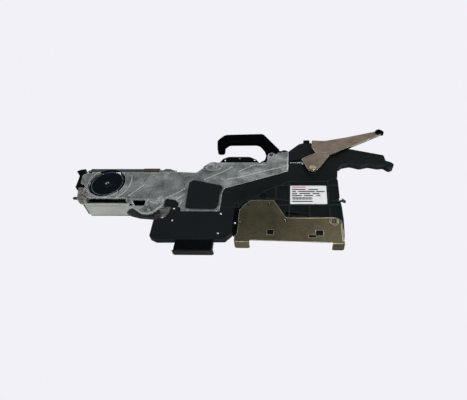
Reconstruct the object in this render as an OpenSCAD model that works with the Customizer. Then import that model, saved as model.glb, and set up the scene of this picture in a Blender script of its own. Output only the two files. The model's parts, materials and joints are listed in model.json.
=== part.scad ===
// Electric tape feeder for 32 mm component tape.
// X runs from the pick-up end (-) to the rear grip (+), Y from the near side (0) to the far side, Z up.
// The origin is the middle of the seat face under the bank connector, on the near side plane.

/* [Tape] */
// Width of the component tape
tape_w = 32; // [24:1:32]
// Pitch of the tape's feed holes
tape_pitch = 4; // [3.6:0.1:4]
// Depth of the tape channel
channel_h = 6; // [5:0.5:6]

/* [Frame] */
// Thickness of the cast near wall
wall_t = 3; // [2.5:0.1:3.5]
// Thickness of the far wall
far_t = 2.5; // [2:0.1:3]
// Space between the tape and the far wall
side_space = 8.2; // [6:0.1:9]
// Height of the tape guide's top above the seat
guide_z = 172; // [171:0.5:174]
// Height of the frame's web under the wheel's opening
belly_web = 4.5; // [3.5:0.5:6]
// Width of the frame's web before the wheel's opening
front_web = 4.15; // [3.5:0.05:6]
// X of the frame's rear edge
frame_end_x = 140.5; // [139:0.5:141]
// Height of the frame's rear top edge
frame_top_z = 216; // [214:0.5:218]

/* [Feed wheel] */
// Number of teeth on the feed wheel
wheel_teeth = 45; // [40:1:45]
// X of the feed wheel's axis
wheel_x = -169.5; // [-171:0.5:-168]
// Gap between the tooth tips and the ring of the frame round them
wheel_gap = 1.4; // [1:0.1:2]
// Height of a tooth above the tape's plane
tooth_h = 1.3; // [1:0.1:1.6]
// Thickness of the toothed rim
rim_t = 1.6; // [1.2:0.1:2]
// Diameter of the feed wheel's axle
axle_d = 6; // [5:0.5:8]

/* [Drive] */
// Module of the gears
gear_module = 0.8; // [0.6:0.05:0.8]
// Teeth of the gear on the feed wheel
wheel_gear_teeth = 50; // [44:1:50]
// Teeth of the idler's gear
idler_teeth = 42; // [38:1:44]
// Teeth of the motor's pinion
pinion_teeth = 12; // [12:1:16]
// Face width of the gears
gear_t = 4; // [3:0.5:5]
// Diameter of the motor's can
motor_d = 30; // [26:1:32]
// Length of the motor's can
motor_len = 22; // [18:1:24]

/* [Bank base] */
// Length of the connector block along X
block_len = 58; // [52:1:60]
// Height of the connector block
block_h = 22; // [20:1:24]
// Thickness of the base across Y
base_t = 9.5; // [9:0.5:11]
// Length of the board's cover
cover_len = 125; // [122:0.5:126]
// Thickness of the steel side plate
plate_t = 1.6; // [1.2:0.1:2]
// Reach of the plate's bent feet
foot_reach = 18; // [14:1:20]
// Diameter of the plate's screws' heads
screw_head_d = 6; // [5:0.5:6.5]

/* [Lever and grip] */
// Thickness of the grip
grip_t = 11; // [10:1:13]
// Length of the hand part behind the grip's neck
hand_len = 77; // [72:1:84]
// Thickness of the clamp lever's sheet
lever_t = 1.6; // [1.2:0.1:2]
// Depth of the lever's folded edge
lever_fold = 5; // [4:0.5:5.5]
// Diameter of the lever's pivot
lever_pin_d = 6; // [5:0.5:7]
// Diameter of the link rod
rod_d = 3; // [2.5:0.1:3.5]

/* [Carrying handle] */
// Thickness of the carrying handle across Y
handle_t = 11; // [9:1:13]
// Height of the carrying handle's bar
handle_bar = 18; // [16:0.5:20]

/* [Hidden] */
fit = 0.3; // gap between pieces that pass or face each other
slide = 0.05; // radial gap of a pin in its bore
lap = 0.4; // how far a piece of one casting sinks in its neighbour
arc_step = 12; // degrees to a flat on a rounded corner
$fn = 48;

// Across Y
tape_y = wall_t + fit; // near edge of the tape channel
body_w = tape_y + tape_w + side_space + far_t; // width over both walls
far_y = body_w - far_t; // inner face of the far wall
slot_y = wall_t + 9.5; // inner edge of the open slot under the wheel
cheek_t = 1.2; // side plates of the tape guide and its latch

// Feed wheel
wheel_pr = wheel_teeth * tape_pitch / (2 * PI); // radius at the tape's plane
wheel_tip_r = wheel_pr + tooth_h;
ring_r = wheel_tip_r + wheel_gap; // opening in the near wall
tape_z = guide_z - 4.5; // plane that the tape lies on
wheel_z = tape_z - wheel_pr;
belly_z = wheel_z - ring_r - belly_web; // lower edge of the front frame
front_x = wheel_x - ring_r - front_web; // front edge of the frame
rim_y = tape_y + 1.75 - rim_t / 2; // near face of the toothed rim, under the feed holes
hub_r = 8;
idler_axle_d = 5;
idler_end = 1; // floor of the axle's blind bore in the near wall
gear_y = rim_y + rim_t + 0.6; // near face of all gears
guide_side_z = guide_z - 8; // lower edge of the guide's skirt
guide_x0 = front_x - 7;
guide_x1 = -84;

// Gears: the idler and the motor lie on one line from the wheel
wheel_gear_r = gear_module * wheel_gear_teeth / 2;
idler_r = gear_module * idler_teeth / 2;
pinion_r = gear_module * pinion_teeth / 2;
mesh_gap = 0.2; // extra centre distance, so that the teeth never bind
root_depth = 1.1; // depth of a tooth's root under the pitch circle, in modules
tip_height = 0.8; // height of a tooth over the pitch circle, in modules
idler_turn = -14; // direction from the wheel to the idler
idler_x = wheel_x + (wheel_gear_r + idler_r + mesh_gap) * cos(idler_turn);
idler_z = wheel_z + (wheel_gear_r + idler_r + mesh_gap) * sin(idler_turn);
idler_phase = idler_turn + 180 + (idler_turn * wheel_gear_teeth - 180) / idler_teeth;
motor_turn = -10; // direction from the idler to the motor
motor_x = idler_x + (idler_r + pinion_r + mesh_gap) * cos(motor_turn);
motor_z = idler_z + (idler_r + pinion_r + mesh_gap) * sin(motor_turn);
pinion_phase = motor_turn + 180 - ((idler_phase - motor_turn) * idler_teeth + 180) / pinion_teeth;

// ---------------------------------------------------------------- helpers

function unit(v) = v / norm(v);

// A corner at p between a and b, turned into an arc of radius r that its edges can hold
function corner(a, p, b, r) =
    let (
        u = unit(a - p),
        v = unit(b - p),
        half = acos(max(-1, min(1, u * v))) / 2,
        t = min(r / tan(half), 0.49 * norm(a - p), 0.49 * norm(b - p)),
        rr = t * tan(half),
        c = p + unit(u + v) * rr / sin(half),
        s = p + u * t - c,
        e = p + v * t - c,
        sweep = 180 - 2 * half,
        n = max(1, ceil(sweep / arc_step))
    )
    [for (i = [0 : n]) c + (s * sin(sweep * (1 - i / n)) + e * sin(sweep * i / n)) / sin(sweep)];

function flat(p) = [p.x, p.y];

// Points given as [x, z, radius] become an outline with rounded corners
function rounded(pts) =
    let (n = len(pts))
    [for (i = [0 : n - 1])
        each (pts[i].z > 0
            ? corner(flat(pts[(i + n - 1) % n]), flat(pts[i]), flat(pts[(i + 1) % n]), pts[i].z)
            : [flat(pts[i])])];

// An outline in X and Z, made t thick from y0 towards the far side
module slab(y0, t) {
    translate([0, y0 + t, 0])
        rotate([90, 0, 0])
            linear_extrude(t)
                children();
}

// A slab from a list of rounded points
module sheet(pts, y0, t) {
    slab(y0, t) polygon(rounded(pts));
}

// A round bar along Y
module bar(x, z, d, y0, len) {
    translate([x, y0, z])
        rotate([-90, 0, 0])
            cylinder(d = d, h = len);
}

// Half the width w, square to a line of points at its point i
function side_at(pts, i, w) =
    let (dir = unit(pts[min(len(pts) - 1, i + 1)] - pts[max(0, i - 1)]))
    [-dir.y, dir.x] * w / 2;

// A rib w wide along a line of points
module rib(pts, w, y0, t) {
    n = len(pts) - 1;
    slab(y0, t) polygon(concat(
        [for (i = [0 : n]) pts[i] + side_at(pts, i, w)],
        [for (i = [n : -1 : 0]) pts[i] - side_at(pts, i, w)]
    ));
}

// A screw head along -Y with a cross recess, its seat at y
module screw(x, z, d, y, h) {
    recess = d * 0.5;
    difference() {
        bar(x, z, d, y - h, h);
        translate([x - recess / 2, y - h - lap, z - recess * 0.12]) cube([recess, h * 0.5 + lap, recess * 0.24]);
        translate([x - recess * 0.12, y - h - lap, z - recess / 2]) cube([recess * 0.24, h * 0.5 + lap, recess]);
    }
}

// A spur gear with straight-flanked teeth, as a flat outline
module gear_outline(teeth, phase) {
    r = teeth * gear_module / 2;
    pitch = PI * gear_module;
    root = r - root_depth * gear_module;
    tip = r + tip_height * gear_module;
    circle(r = root);
    for (i = [0 : teeth - 1])
        rotate(phase + i * 360 / teeth)
            polygon([
                [root - lap, -0.27 * pitch],
                [root, -0.27 * pitch],
                [tip, -0.12 * pitch],
                [tip, 0.12 * pitch],
                [root, 0.27 * pitch],
                [root - lap, 0.27 * pitch]
            ]);
}

// ---------------------------------------------------------------- cast frame

// An upright lug with a round end at the pin p and its foot at f
module lug(p, f, y0, t) {
    bar(p.x, p.y, 5, y0, t);
    slab(y0, t) polygon([[p.x - 2.5, p.y], [p.x + 2.5, p.y], [max(f.x, p.x) + 6, f.y], [min(f.x, p.x) - 1, f.y]]);
}

strip_z = 78; // lower edge of the frame over the base
motor_cover_t = 2.4;
motor_cover_pts = [
    [-24.5, 83.5, 4], [-26.5, 138, 3], [-20, 143.5, 3], [28.5, 131.5, 1.5], [31, 127.5, 1], [28, 117, 4],
    [28, 90, 4], [24.5, 84, 4], [18, 82.5, 3]
];
handle_screw = [110, 207];
cover_x0 = -71; // front edge of the board's cover
cover_end = cover_x0 + cover_len;
post_x = cover_end + 5;
plate_x0 = cover_end + 10; // front edge of the side plate and the grip's web
panel_x0 = plate_x0 + 2;
slot_x1 = -128; // rear end of the open slot under the wheel
slot_lift = 2.4; // how far the near wall stays above the slot

// Outline of the cast near wall
frame_pts = [
    [front_x, belly_z + 27.5, 1], [front_x - 4, belly_z + 33, 2], [front_x - 9.5, belly_z + 34, 1],
    [front_x - 11, belly_z + 43, 2], [front_x - 12.5, guide_side_z - 7, 1], [front_x - 9, guide_side_z - 4, 2],
    [front_x + 3, guide_side_z - 3, 0], [front_x + 4, guide_side_z - fit, 0],
    [guide_x1 + 1, guide_side_z - fit, 0], [guide_x1 + 1, guide_side_z + 1, 1], [-49, guide_side_z + 1, 3],
    [-19, 163.3, 4], [-9, 174.5, 3], [4.5, 189.5, 3], [11.5, 188, 2], [103.2, 188, 1.5],
    [104, 207, 1], [105.5, 211, 1], [110.5, 213.9, 2], [118.3, 209.2, 2], [123.5, 213.3, 2],
    [frame_end_x, frame_top_z, 1],
    [frame_end_x, 167, 1], [34, 127, 4], [31.5, 118, 6], [31.5, strip_z, 1], [-31.2, strip_z, 1],
    [-31.2, 85.2, 0], [-66, 85.2, 2], [-76, 73.8, 3], [-84, 71.2, 5], [-92.5, 71.6, 4], [-102, 78, 2],
    [-109, 82.5, 1.5], [-113.5, 92, 2], [-120.5, belly_z, 2], [slot_x1 + 2, belly_z, 0.5],
    [slot_x1, belly_z + slot_lift, 0.5], [front_x + 14, belly_z + slot_lift, 3], [front_x, belly_z + 12, 1]
];

// Window that shows the dark inside of the frame
window_pts = [
    [-117, 102.6, 1], [-93.5, 102.6, 1], [-92.5, 89, 2], [-97.5, 82.8, 3], [-106, 85.4, 2], [-110.5, 92, 2]
];

// Ribs on the near face, as lines of points
frame_ribs = [
    [[-124.3, 109.8], [-104.3, 132.9]],
    [[-72.8, 103.3], [-67.4, 108.9]],
    [[-60.1, 105.6], [-46, 113.8], [-32.4, 126]],
    [[-42.7, 101.3], [-31.5, 112.2]],
    [[-89.2, 102.5], [-90.6, 96], [-88.8, 88.3]],
    [[-84.5, 97], [-78, 93.8], [-71.3, 92.7]],
    [[-33.1, 98.1], [-35.8, 87]],
    [[-2.6, 146.3], [14.8, 157], [24.5, 163], [42.9, 177.6]],
    [[55.5, 165.9], [77.1, 180.6], [82.2, 182.6], [101.7, 182.6]],
    [[36.7, 147.5], [56.9, 151.7], [94, 165.4], [138, 179.6]],
    [[frame_end_x - 1, 170], [frame_end_x - 1, 203]]
];

// Raised rim along the lower edge round the window
rim_pts = [
    [-119, 102.2], [-113.2, 93.5], [-109, 84.3], [-100.7, 79.2], [-92, 73.2], [-84.6, 72.6], [-76.3, 75.2],
    [-69.4, 83], [-65.8, 87.2], [-63.4, 89], [-64, 102.2]
];

module main_frame() {
    color("#9b9e9c")
        difference() {
            union() {
                sheet(frame_pts, 0, wall_t);
                // machined ring round the wheel
                slab(-1, wall_t + 1) difference() {
                    intersection() {
                        translate([wheel_x, wheel_z]) circle(r = ring_r + 2.2);
                        translate([front_x - 20, belly_z + slot_lift])
                            square([80, guide_side_z - fit - belly_z - slot_lift]);
                    }
                    translate([wheel_x, wheel_z]) circle(r = ring_r);
                }
                // arc step of the casting behind the wheel
                slab(-1, 1 + lap) intersection() {
                    translate([wheel_x, wheel_z]) difference() {
                        circle(r = ring_r + 11);
                        circle(r = ring_r + 9.5);
                    }
                    translate([wheel_x + 8, belly_z + 4]) square([60, 48]);
                }
                for (r = frame_ribs)
                    rib(r, 1.6, -1, 1 + lap);
                rib(rim_pts, 1.8, -1, 1 + lap);
                // bosses
                bar(handle_screw.x, handle_screw.y, 9, -0.8, wall_t);
                // lugs that carry the guide's and the latch's pins
                lug(guide_pin, [front_x - 6, guide_side_z - 8], cheek_t + fit, wall_t - cheek_t - fit);
                lug(latch_pin, [latch_pin.x - 4, guide_side_z - 6], cheek_t + fit, wall_t - cheek_t - fit);
                // foot and lug of the clamp hook's pin
                slab(wall_t - lap, hook_y + hook_t + fit + 2.5 - wall_t + lap)
                    translate([-70, 88]) square([12, 6]);
                lug(hook_pivot, [-65, 90], hook_y + hook_t + fit, 2.5);
                // rim that stiffens the lower edge over the base
                slab(0, 10) translate([-29, strip_z]) square([60.5, 2]);
                slab(0, 10) translate([28.5, strip_z]) square([3, 40]);
                // web that closes the slot's rear end
                slab(wall_t - lap, slot_y - wall_t + lap) translate([slot_x1, belly_z]) square([8, 2.5]);
                // edge flange under the rising arm
                slab(0, 12) polygon([[48, 132.2], [frame_end_x, 167], [frame_end_x, 169.5], [48, 134.8]]);
            }
            // opening for the wheel
            bar(wheel_x, wheel_z, 2 * ring_r, -2, wall_t + 4);
            sheet(window_pts, -1, wall_t + 2);
            // flat seat of the motor's cover
            sheet(motor_cover_pts, -2, 2);
            // slanted slot, screw holes
            slab(-1, wall_t + 2) polygon([[-84, 77.5], [-86, 83.5], [-83.4, 83.5], [-81, 77.5]]);
            bar(dish_hole.x, dish_hole.y, 3.4, -2, 4);
            for (x = [-20.5, 26.4])
                bar(x, strip_z + 2.4, 2.6, -1, wall_t + 2);
            bar(guide_pin.x, guide_pin.y, 3 + 2 * slide, -2, 8);
            bar(latch_pin.x, latch_pin.y, 3 + 2 * slide, -2, 8);
            bar(latch_pin.x, latch_pin.y, 7, -2, 2 + cheek_t + fit);
            bar(hook_pivot.x, hook_pivot.y, 4 + 2 * slide, 5, 9);
            bar(handle_screw.x, handle_screw.y, 4.2, -2, wall_t + 4);
            bar(idler_x, idler_z, idler_axle_d + 2 * slide, idler_end, wall_t);
            for (p = [[-200.5, 117.8, 4], [-199.5, 110.5, 2], [-191, 109.6, 2.8]])
                bar(p.x, p.y, p.z, -1, wall_t + 2);
            // curved groove over the front holes
            slab(-1, 1.8) intersection() {
                translate([-200.5, 117.8]) difference() {
                    circle(r = 7.2);
                    circle(r = 5.4);
                }
                translate([-204, 119]) square([12, 9]);
            }
        }
}

// The far wall follows the near one, with the feed wheel's side closed
module far_frame() {
    far_pts = [
        [front_x + 2, belly_z, 3], [front_x - 3, belly_z + 20, 2], [front_x - 3, guide_side_z - fit, 2],
        [guide_x1 - 2, guide_side_z - fit, 1], [-49, guide_side_z - 2, 4], [-14, 168, 4], [9, 188, 4],
        [104, 190, 3], [108, frame_top_z - 4, 4], [frame_end_x, frame_top_z - 2, 2],
        [frame_end_x, 62, 3], [34, 62, 4], [20, 90, 6], [-60, 95, 6], [-70, belly_z, 4]
    ];
    color("#8f9290") {
        difference() {
            union() {
                sheet(far_pts, far_y, far_t);
                lug(guide_pin, [front_x - 1, guide_side_z - 8], far_y, far_t - cheek_t - fit);
                lug(latch_pin, [latch_pin.x - 4, guide_side_z - 6], far_y, far_t - cheek_t - fit);
                // boss of the wheel's axle
                bar(wheel_x, wheel_z, 14, far_y - 3, 3 + lap);
                for (x = [-120, -40, 60])
                    bar(x, 150 + (x + 120) * 0.08, 9, far_y - 2, 2 + lap);
            }
            bar(wheel_x, wheel_z, axle_d + 2 * slide, far_y - 4, far_t + 6);
            bar(idler_x, idler_z, idler_axle_d + 2 * slide, far_y - 4, far_t + 6);
            bar(guide_pin.x, guide_pin.y, 3 + 2 * slide, body_w - 8, 10);
            bar(latch_pin.x, latch_pin.y, 3 + 2 * slide, body_w - 8, 10);
        }
        // front web between the walls
        translate([front_x - 2, slot_y, belly_z + 2]) cube([3, far_y - slot_y + lap, 54]);
    }
}

module bottom_rail() {
    color("#a7a9a2")
        translate([front_x + 2.5, slot_y, belly_z - 0.5]) cube([slot_x1 - front_x - 1, 5.4, 2]);
}

module bottom_cover() {
    color("#abada6")
        translate([front_x + 2.5, slot_y + 6.5, belly_z - 0.5])
            cube([116, far_y - slot_y - 6.5 - fit, 2]);
}

nose_d = 5;
nose_shank_d = 3.5;
nose_reach = 4.5;
nose_block_t = 9;
nose_y = wall_t + 3.1;
nose_z = 6;

module front_block() {
    color("#a3a5a0")
        difference() {
            sheet([
                [front_x - 12, belly_z + 27.5, 1], [front_x - 11, belly_z + 20, 1], [front_x - 8.5, belly_z + 9, 3],
                [front_x - 6, belly_z + 1, 3], [front_x - 1, belly_z - 2.5, 3], [front_x + 6, belly_z - 2, 2],
                [front_x + 9, belly_z - 0.5, 1], [front_x + 9, belly_z + 6, 1], [front_x + 13, belly_z + 27.5, 1]
            ], wall_t + 0.1, nose_block_t);
            bar(wheel_x, wheel_z, 2 * ring_r, 0, body_w);
            translate([front_x - 20, nose_y, belly_z + nose_z])
                rotate([0, 90, 0])
                    cylinder(d = nose_shank_d, h = 22);
        }
}

// Nosed pin that finds the machine's hole, its shank in the block
module front_pin() {
    color("#8d9092")
        translate([front_x - 9 - nose_reach, nose_y, belly_z + nose_z])
            rotate([0, 90, 0]) {
                translate([0, 0, -2]) cylinder(d1 = nose_d / 2, d2 = nose_d, h = 2);
                cylinder(d = nose_d, h = nose_reach);
                cylinder(d = nose_shank_d, h = nose_reach + 8);
            }
}

module exit_guide() {
    color("#1c1e20")
        slab(wall_t + 0.2, 8)
            polygon(rounded([
                [front_x - 29.5, 169.5, 1], [front_x - 23, 173.5, 1], [front_x - 14, 175, 1.5],
                [front_x - 12.5, 164, 1], [front_x - 15.5, 160, 2], [front_x - 14.5, 150, 2],
                [front_x - 9, belly_z + 37, 2], [front_x - 3.4, belly_z + 36, 2], [front_x - 3.4, belly_z + 28, 0.6],
                [front_x - 18.5, belly_z + 28, 1], [front_x - 19.5, 150, 2], [front_x - 20.5, 160, 2]
            ]));
}

// ---------------------------------------------------------------- tape guide

guide_pin = [guide_x0 + 4, guide_z - 4.5];

module tape_guide() {
    color("#55585a")
        difference() {
            union() {
                // top plate and the two skirts
                translate([guide_x0 + 5, 0, guide_z - 1.5]) cube([guide_x1 - guide_x0 - 5, body_w, 1.5]);
                slab(0, cheek_t) polygon(rounded([
                    [guide_x0, guide_side_z + 2, 1], [guide_x0 + 2, guide_z - 3, 2], [guide_x0 + 8, guide_z, 2],
                    [guide_x1, guide_z, 0], [guide_x1, guide_side_z, 0], [guide_x0 + 2, guide_side_z, 1]
                ]));
                slab(body_w - cheek_t, cheek_t) polygon(rounded([
                    [guide_x0, guide_side_z + 2, 1], [guide_x0 + 2, guide_z - 3, 2], [guide_x0 + 8, guide_z, 2],
                    [guide_x1, guide_z, 0], [guide_x1, guide_side_z, 0], [guide_x0 + 2, guide_side_z, 1]
                ]));
            }
            // pick-up window and peel slot
            translate([wheel_x - 8, tape_y + 4, guide_z - 4]) cube([20, tape_w - 7, 6]);
            translate([wheel_x + 18, tape_y + 2, guide_z - 4]) cube([4, tape_w - 4, 6]);
            // clearance over the wheel's teeth
            bar(wheel_x, wheel_z, 2 * ring_r, -2, wall_t + 8);
            bar(guide_pin.x, guide_pin.y, 3 + 2 * slide, -2, body_w + 4);
        }
}

// Folded strip that wraps the rear of the guide
module guide_liner() {
    liner_t = 0.6;
    liner_x = -113;
    len = guide_x1 - liner_x - 1;
    color("#5c5341") {
        for (y = [-liner_t, body_w])
            translate([liner_x, y, guide_side_z + 2]) cube([len, liner_t, guide_z - guide_side_z - 2 + liner_t]);
        translate([liner_x, 0, guide_z]) cube([len, body_w, liner_t]);
    }
}

// Pins of the guide and the latch
module guide_pins() {
    color("#b9bbbd")
        for (p = [guide_pin, latch_pin]) {
            bar(p.x, p.y, 3, -0.6, wall_t + 0.6);
            bar(p.x, p.y, 3, far_y, far_t + 0.6);
        }
}

latch_pin = [-56, guide_z - 6];

module guide_latch() {
    color("#77746f")
        difference() {
            union() {
                for (y = [0, body_w - cheek_t])
                    sheet([
                        [guide_x1 + 1.2, guide_side_z + 2, 1], [guide_x1 + 1.2, guide_z - 2, 1], [-79, guide_z - 3, 1],
                        [-74, guide_z + 0.5, 2], [-66, guide_z, 2], [-60, guide_z - 3, 2], [-54, guide_z - 3.7, 2],
                        [-53.4, guide_z - 7.6, 2], [-60, guide_side_z + 1.2, 1]
                    ], y, cheek_t);
                translate([-76, 0, guide_z - 1.5]) cube([10, body_w, 1.5]);
            }
            bar(latch_pin.x, latch_pin.y, 3 + 2 * slide, -2, body_w + 4);
        }
}

// ---------------------------------------------------------------- feed wheel and drive

module feed_wheel() {
    tooth_w = 1.5;
    color("#20262a") {
        difference() {
            union() {
                bar(wheel_x, wheel_z, 2 * (wheel_pr - 0.6), rim_y, rim_t);
                // teeth with rounded flanks, one to each feed hole
                for (i = [0 : wheel_teeth - 1])
                    slab(rim_y, rim_t)
                        translate([wheel_x, wheel_z])
                            rotate(i * 360 / wheel_teeth)
                                polygon([
                                    [wheel_pr - 1, -tooth_w / 2], [wheel_pr, -tooth_w / 2],
                                    [wheel_tip_r, -tooth_w / 4], [wheel_tip_r, tooth_w / 4],
                                    [wheel_pr, tooth_w / 2], [wheel_pr - 1, tooth_w / 2]
                                ]);
                // stepped near face and hub
                bar(wheel_x, wheel_z, 2 * (wheel_pr - 1.6), 1.4, rim_y - 1.4 + lap);
                bar(wheel_x, wheel_z, 2 * hub_r, 0.6, rim_y);
                bar(wheel_x, wheel_z, 2 * hub_r, rim_y, gear_y + gear_t - rim_y);
            }
            // dished ring and the bore
            translate([wheel_x, 0.9, wheel_z])
                rotate([-90, 0, 0])
                    difference() {
                        cylinder(d = 2 * (wheel_pr - 3), h = 1.1);
                        translate([0, 0, -1]) cylinder(d = 2 * hub_r + 3, h = 3);
                    }
            bar(wheel_x, wheel_z, axle_d + 2 * slide, -1, body_w);
        }
    }
}

module wheel_gear() {
    color("#d8d3c4")
        difference() {
            slab(gear_y, gear_t) translate([wheel_x, wheel_z]) gear_outline(wheel_gear_teeth, 0);
            bar(wheel_x, wheel_z, 2 * hub_r, gear_y - 1, gear_t + 2);
            for (i = [0 : 5])
                bar(wheel_x + 15 * cos(i * 60), wheel_z + 15 * sin(i * 60), 7, gear_y - 1, gear_t + 2);
        }
}

module wheel_screw() {
    color("#d5d6d4")
        difference() {
            bar(wheel_x, wheel_z, 9, -1.2, 1.8);
            for (a = [0, 90])
                translate([wheel_x, -1.3, wheel_z]) rotate([0, a, 0]) translate([-2.4, 0, -0.45]) cube([4.8, 1, 0.9]);
        }
}

module wheel_axle() {
    color("#b9bbbd") bar(wheel_x, wheel_z, axle_d, 0.6 + fit, body_w - 0.6 - fit);
}

module idler_gear() {
    color("#d8d3c4")
        difference() {
            union() {
                slab(gear_y, gear_t) translate([idler_x, idler_z]) gear_outline(idler_teeth, idler_phase);
                bar(idler_x, idler_z, 10, gear_y, gear_t + 3);
            }
            bar(idler_x, idler_z, idler_axle_d + 2 * slide, gear_y - 1, gear_t + 6);
        }
}

module idler_axle() {
    color("#b9bbbd") bar(idler_x, idler_z, idler_axle_d, idler_end + fit, body_w - idler_end - fit);
}

motor_y = gear_y + gear_t + 3;

module pinion() {
    color("#c9a35a")
        difference() {
            union() {
                slab(gear_y, gear_t + 1) translate([motor_x, motor_z]) gear_outline(pinion_teeth, pinion_phase);
            }
            bar(motor_x, motor_z, 2 + 2 * slide, gear_y - 1, gear_t + 4);
        }
    color("#b9bbbd") bar(motor_x, motor_z, 2 + 2 * slide, gear_y, gear_t + 3 - fit);
}

module motor() {
    color("#6f7274") {
        difference() {
            bar(motor_x, motor_z, motor_d, motor_y, motor_len);
            bar(motor_x, motor_z, 10, motor_y - 1, 2);
        }
        bar(motor_x, motor_z, motor_d * 0.7, motor_y + motor_len - lap, 2);
        translate([motor_x - 4, motor_y + motor_len - lap, motor_z - motor_d / 2 + 3]) cube([8, 5, 6]);
    }
}

// Plate between the walls that carries the motor
module motor_bracket() {
    color("#8f9290")
        difference() {
            union() {
                sheet([
                    [motor_x - motor_d / 2 - 3, motor_z - motor_d / 2 - 3, 3],
                    [motor_x + motor_d / 2 + 3, motor_z - motor_d / 2 - 3, 3],
                    [motor_x + motor_d / 2 + 3, motor_z + motor_d / 2 + 1, 3],
                    [motor_x - motor_d / 2 - 3, motor_z + motor_d / 2 + 1, 3]
                ], motor_y + motor_len + fit, 2);
                for (sx = [-1, 1])
                    bar(motor_x + sx * (motor_d / 2 - 1), motor_z - motor_d / 2 + 0.5,
                        5, motor_y + motor_len + 2, far_y - motor_y - motor_len - 2);
            }
            bar(motor_x, motor_z, motor_d * 0.7 + 1, motor_y, motor_len + 5);
            translate([motor_x - 5, motor_y, motor_z - motor_d / 2 + 2]) cube([10, motor_len + 5, 8]);
        }
}

module motor_cover() {
    color("#272c2d")
        difference() {
            sheet(motor_cover_pts, -motor_cover_t, motor_cover_t);
            sheet([
                [-21, 86, 3], [-22.5, 134, 4], [-18, 140, 3], [22, 131, 3], [23.5, 120, 3], [22.5, 90, 6], [16, 86, 4]
            ], -motor_cover_t - 0.4, 0.8);
        }
}

// ---------------------------------------------------------------- cover tape take-up

roller_d = 14;
roller_lo = [14, 158];
roller_hi = [roller_lo.x, roller_lo.y + roller_d + 0.35];

dish_at = [4.3, 176]; // centre of the round dish over the rollers
dish_hole = [-5.5, 172.2];

module takeup_housing() {
    color("#8b8f84")
        difference() {
            slab(-1.8, 1.8) polygon(rounded([
                [-8, 169, 2], [-9, 175, 2], [2, 186.5, 2], [8, 188, 3], [22, 185.5, 5], [27, 178, 5],
                [21, 169, 5], [6, 167, 4]
            ]));
            bar(dish_hole.x, dish_hole.y, 4.4, -3, 4);
            // dished rings, one inside the other
            bar(dish_at.x, dish_at.y, 15, -2.8, 1.5);
            bar(dish_at.x, dish_at.y, 10, -2.8, 2);
            bar(dish_at.x + 15.5, dish_at.y, 10, -2.8, 1.6);
        }
}

module roller(p) {
    color("#3a3c3e")
        difference() {
            union() {
                bar(p.x, p.y, roller_d, tape_y, tape_w);
                bar(p.x, p.y, 8, tape_y, far_y - fit - tape_y);
            }
            for (i = [0 : 11])
                bar(p.x + roller_d / 2 * cos(i * 30), p.y + roller_d / 2 * sin(i * 30), 1.2, tape_y + 3, tape_w - 6);
            bar(p.x, p.y, 4 + 2 * slide, -1, body_w + 4);
        }
}

module roller_lower() { roller(roller_lo); }

module roller_upper() { roller(roller_hi); }

module takeup_pins() {
    color("#b9bbbd")
        for (p = [roller_lo, roller_hi])
            bar(p.x, p.y, 4, wall_t, far_y - wall_t);
}

// ---------------------------------------------------------------- tape channel

panel_x1 = 228; // rear edge of the rear panel
channel_floor = [
    [front_x - 1, tape_z - channel_h], [-75, tape_z - channel_h], [-55, 157], [108, 94], [128, 90],
    [panel_x1 - 2, 90]
];
floor_t = 1.5;

function raised(pts, dz) = [for (p = pts) [p.x, p.y + dz, 14]];
function turned(pts) = [for (i = [len(pts) - 1 : -1 : 0]) pts[i]];

// A band that follows the channel from height a to height b above its floor
module channel_band(from, a, b, y0, t) {
    pts = [for (i = [from : len(channel_floor) - 1]) channel_floor[i]];
    sheet(concat(raised(pts, a), turned(raised(pts, b))), y0, t);
}

module tape_channel() {
    color("#6d6f70")
        difference() {
            union() {
                channel_band(0, -floor_t, 0, tape_y, tape_w);
                channel_band(0, -floor_t, channel_h, tape_y + tape_w, 1.5);
                // ledge under the tape's far edge
                channel_band(0, 0, channel_h - 1, tape_y + tape_w - 2, 2);
            }
            // room for the feed wheel
            bar(wheel_x, wheel_z, 2 * ring_r, 0, rim_y + rim_t + 1);
        }
}

module channel_roof() {
    color("#6d6f70") channel_band(2, channel_h + 2, channel_h + 3.5, tape_y, tape_w + 1.5);
}

// ---------------------------------------------------------------- base

cover_y = -1.5;
cover_pts = [
    [cover_x0 + 0.5, 58, 1], [cover_x0 + 10, 61, 1], [-56, 62.8, 1], [-50.6, 67.5, 3], [-48.2, 77, 2],
    [-47.8, 84.5, 1],
    [-33, 84.5, 1], [-31.5, 76.5, 0], [32, 76.5, 0], [33.5, 84.5, 0.5],
    [cover_end + 1, 84.5, 1], [cover_end + 1.8, 34, 3], [cover_end - 8, block_h + 1, 4],
    [cover_x0 + 12, block_h - 0.5, 5], [cover_x0 + 1, block_h + 5, 4]
];
cover_screws_xz = [[-42, 81], [-40, 57], [cover_end - 19, 71], [cover_end - 19, 33]];

module board_cover() {
    color("#2b3031")
        difference() {
            sheet(cover_pts, cover_y, base_t);
            // hollow for the board, open on the far side
            sheet([
                [cover_x0 + 5, 55, 2], [-30, 58, 2], [-28, 72, 2], [cover_end - 5, 72, 2],
                [cover_end - 5, 30, 2], [cover_x0 + 6, block_h + 6, 2]
            ], cover_y + 2, base_t);
            for (p = cover_screws_xz)
                bar(p.x, p.y, screw_head_d + 0.6, cover_y - 1, 1.6);
            for (p = [[cover_x0 + 16, 29], [cover_end - 13, 27]])
                bar(p.x, p.y, 3.4, cover_y - 1, 2.6);
        }
}

module circuit_board() {
    color("#1f5138") {
        translate([cover_x0 + 8, cover_y + 4, block_h + 10]) cube([cover_len - 16, 1.6, 22]);
        // components, at even steps along the board
        for (i = [0 : 3])
            translate([cover_x0 + 14 + i * (cover_len - 40) / 3, cover_y + 5.6 - lap, block_h + 14])
                cube([12, 1.6, 12]);
    }
}

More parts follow.
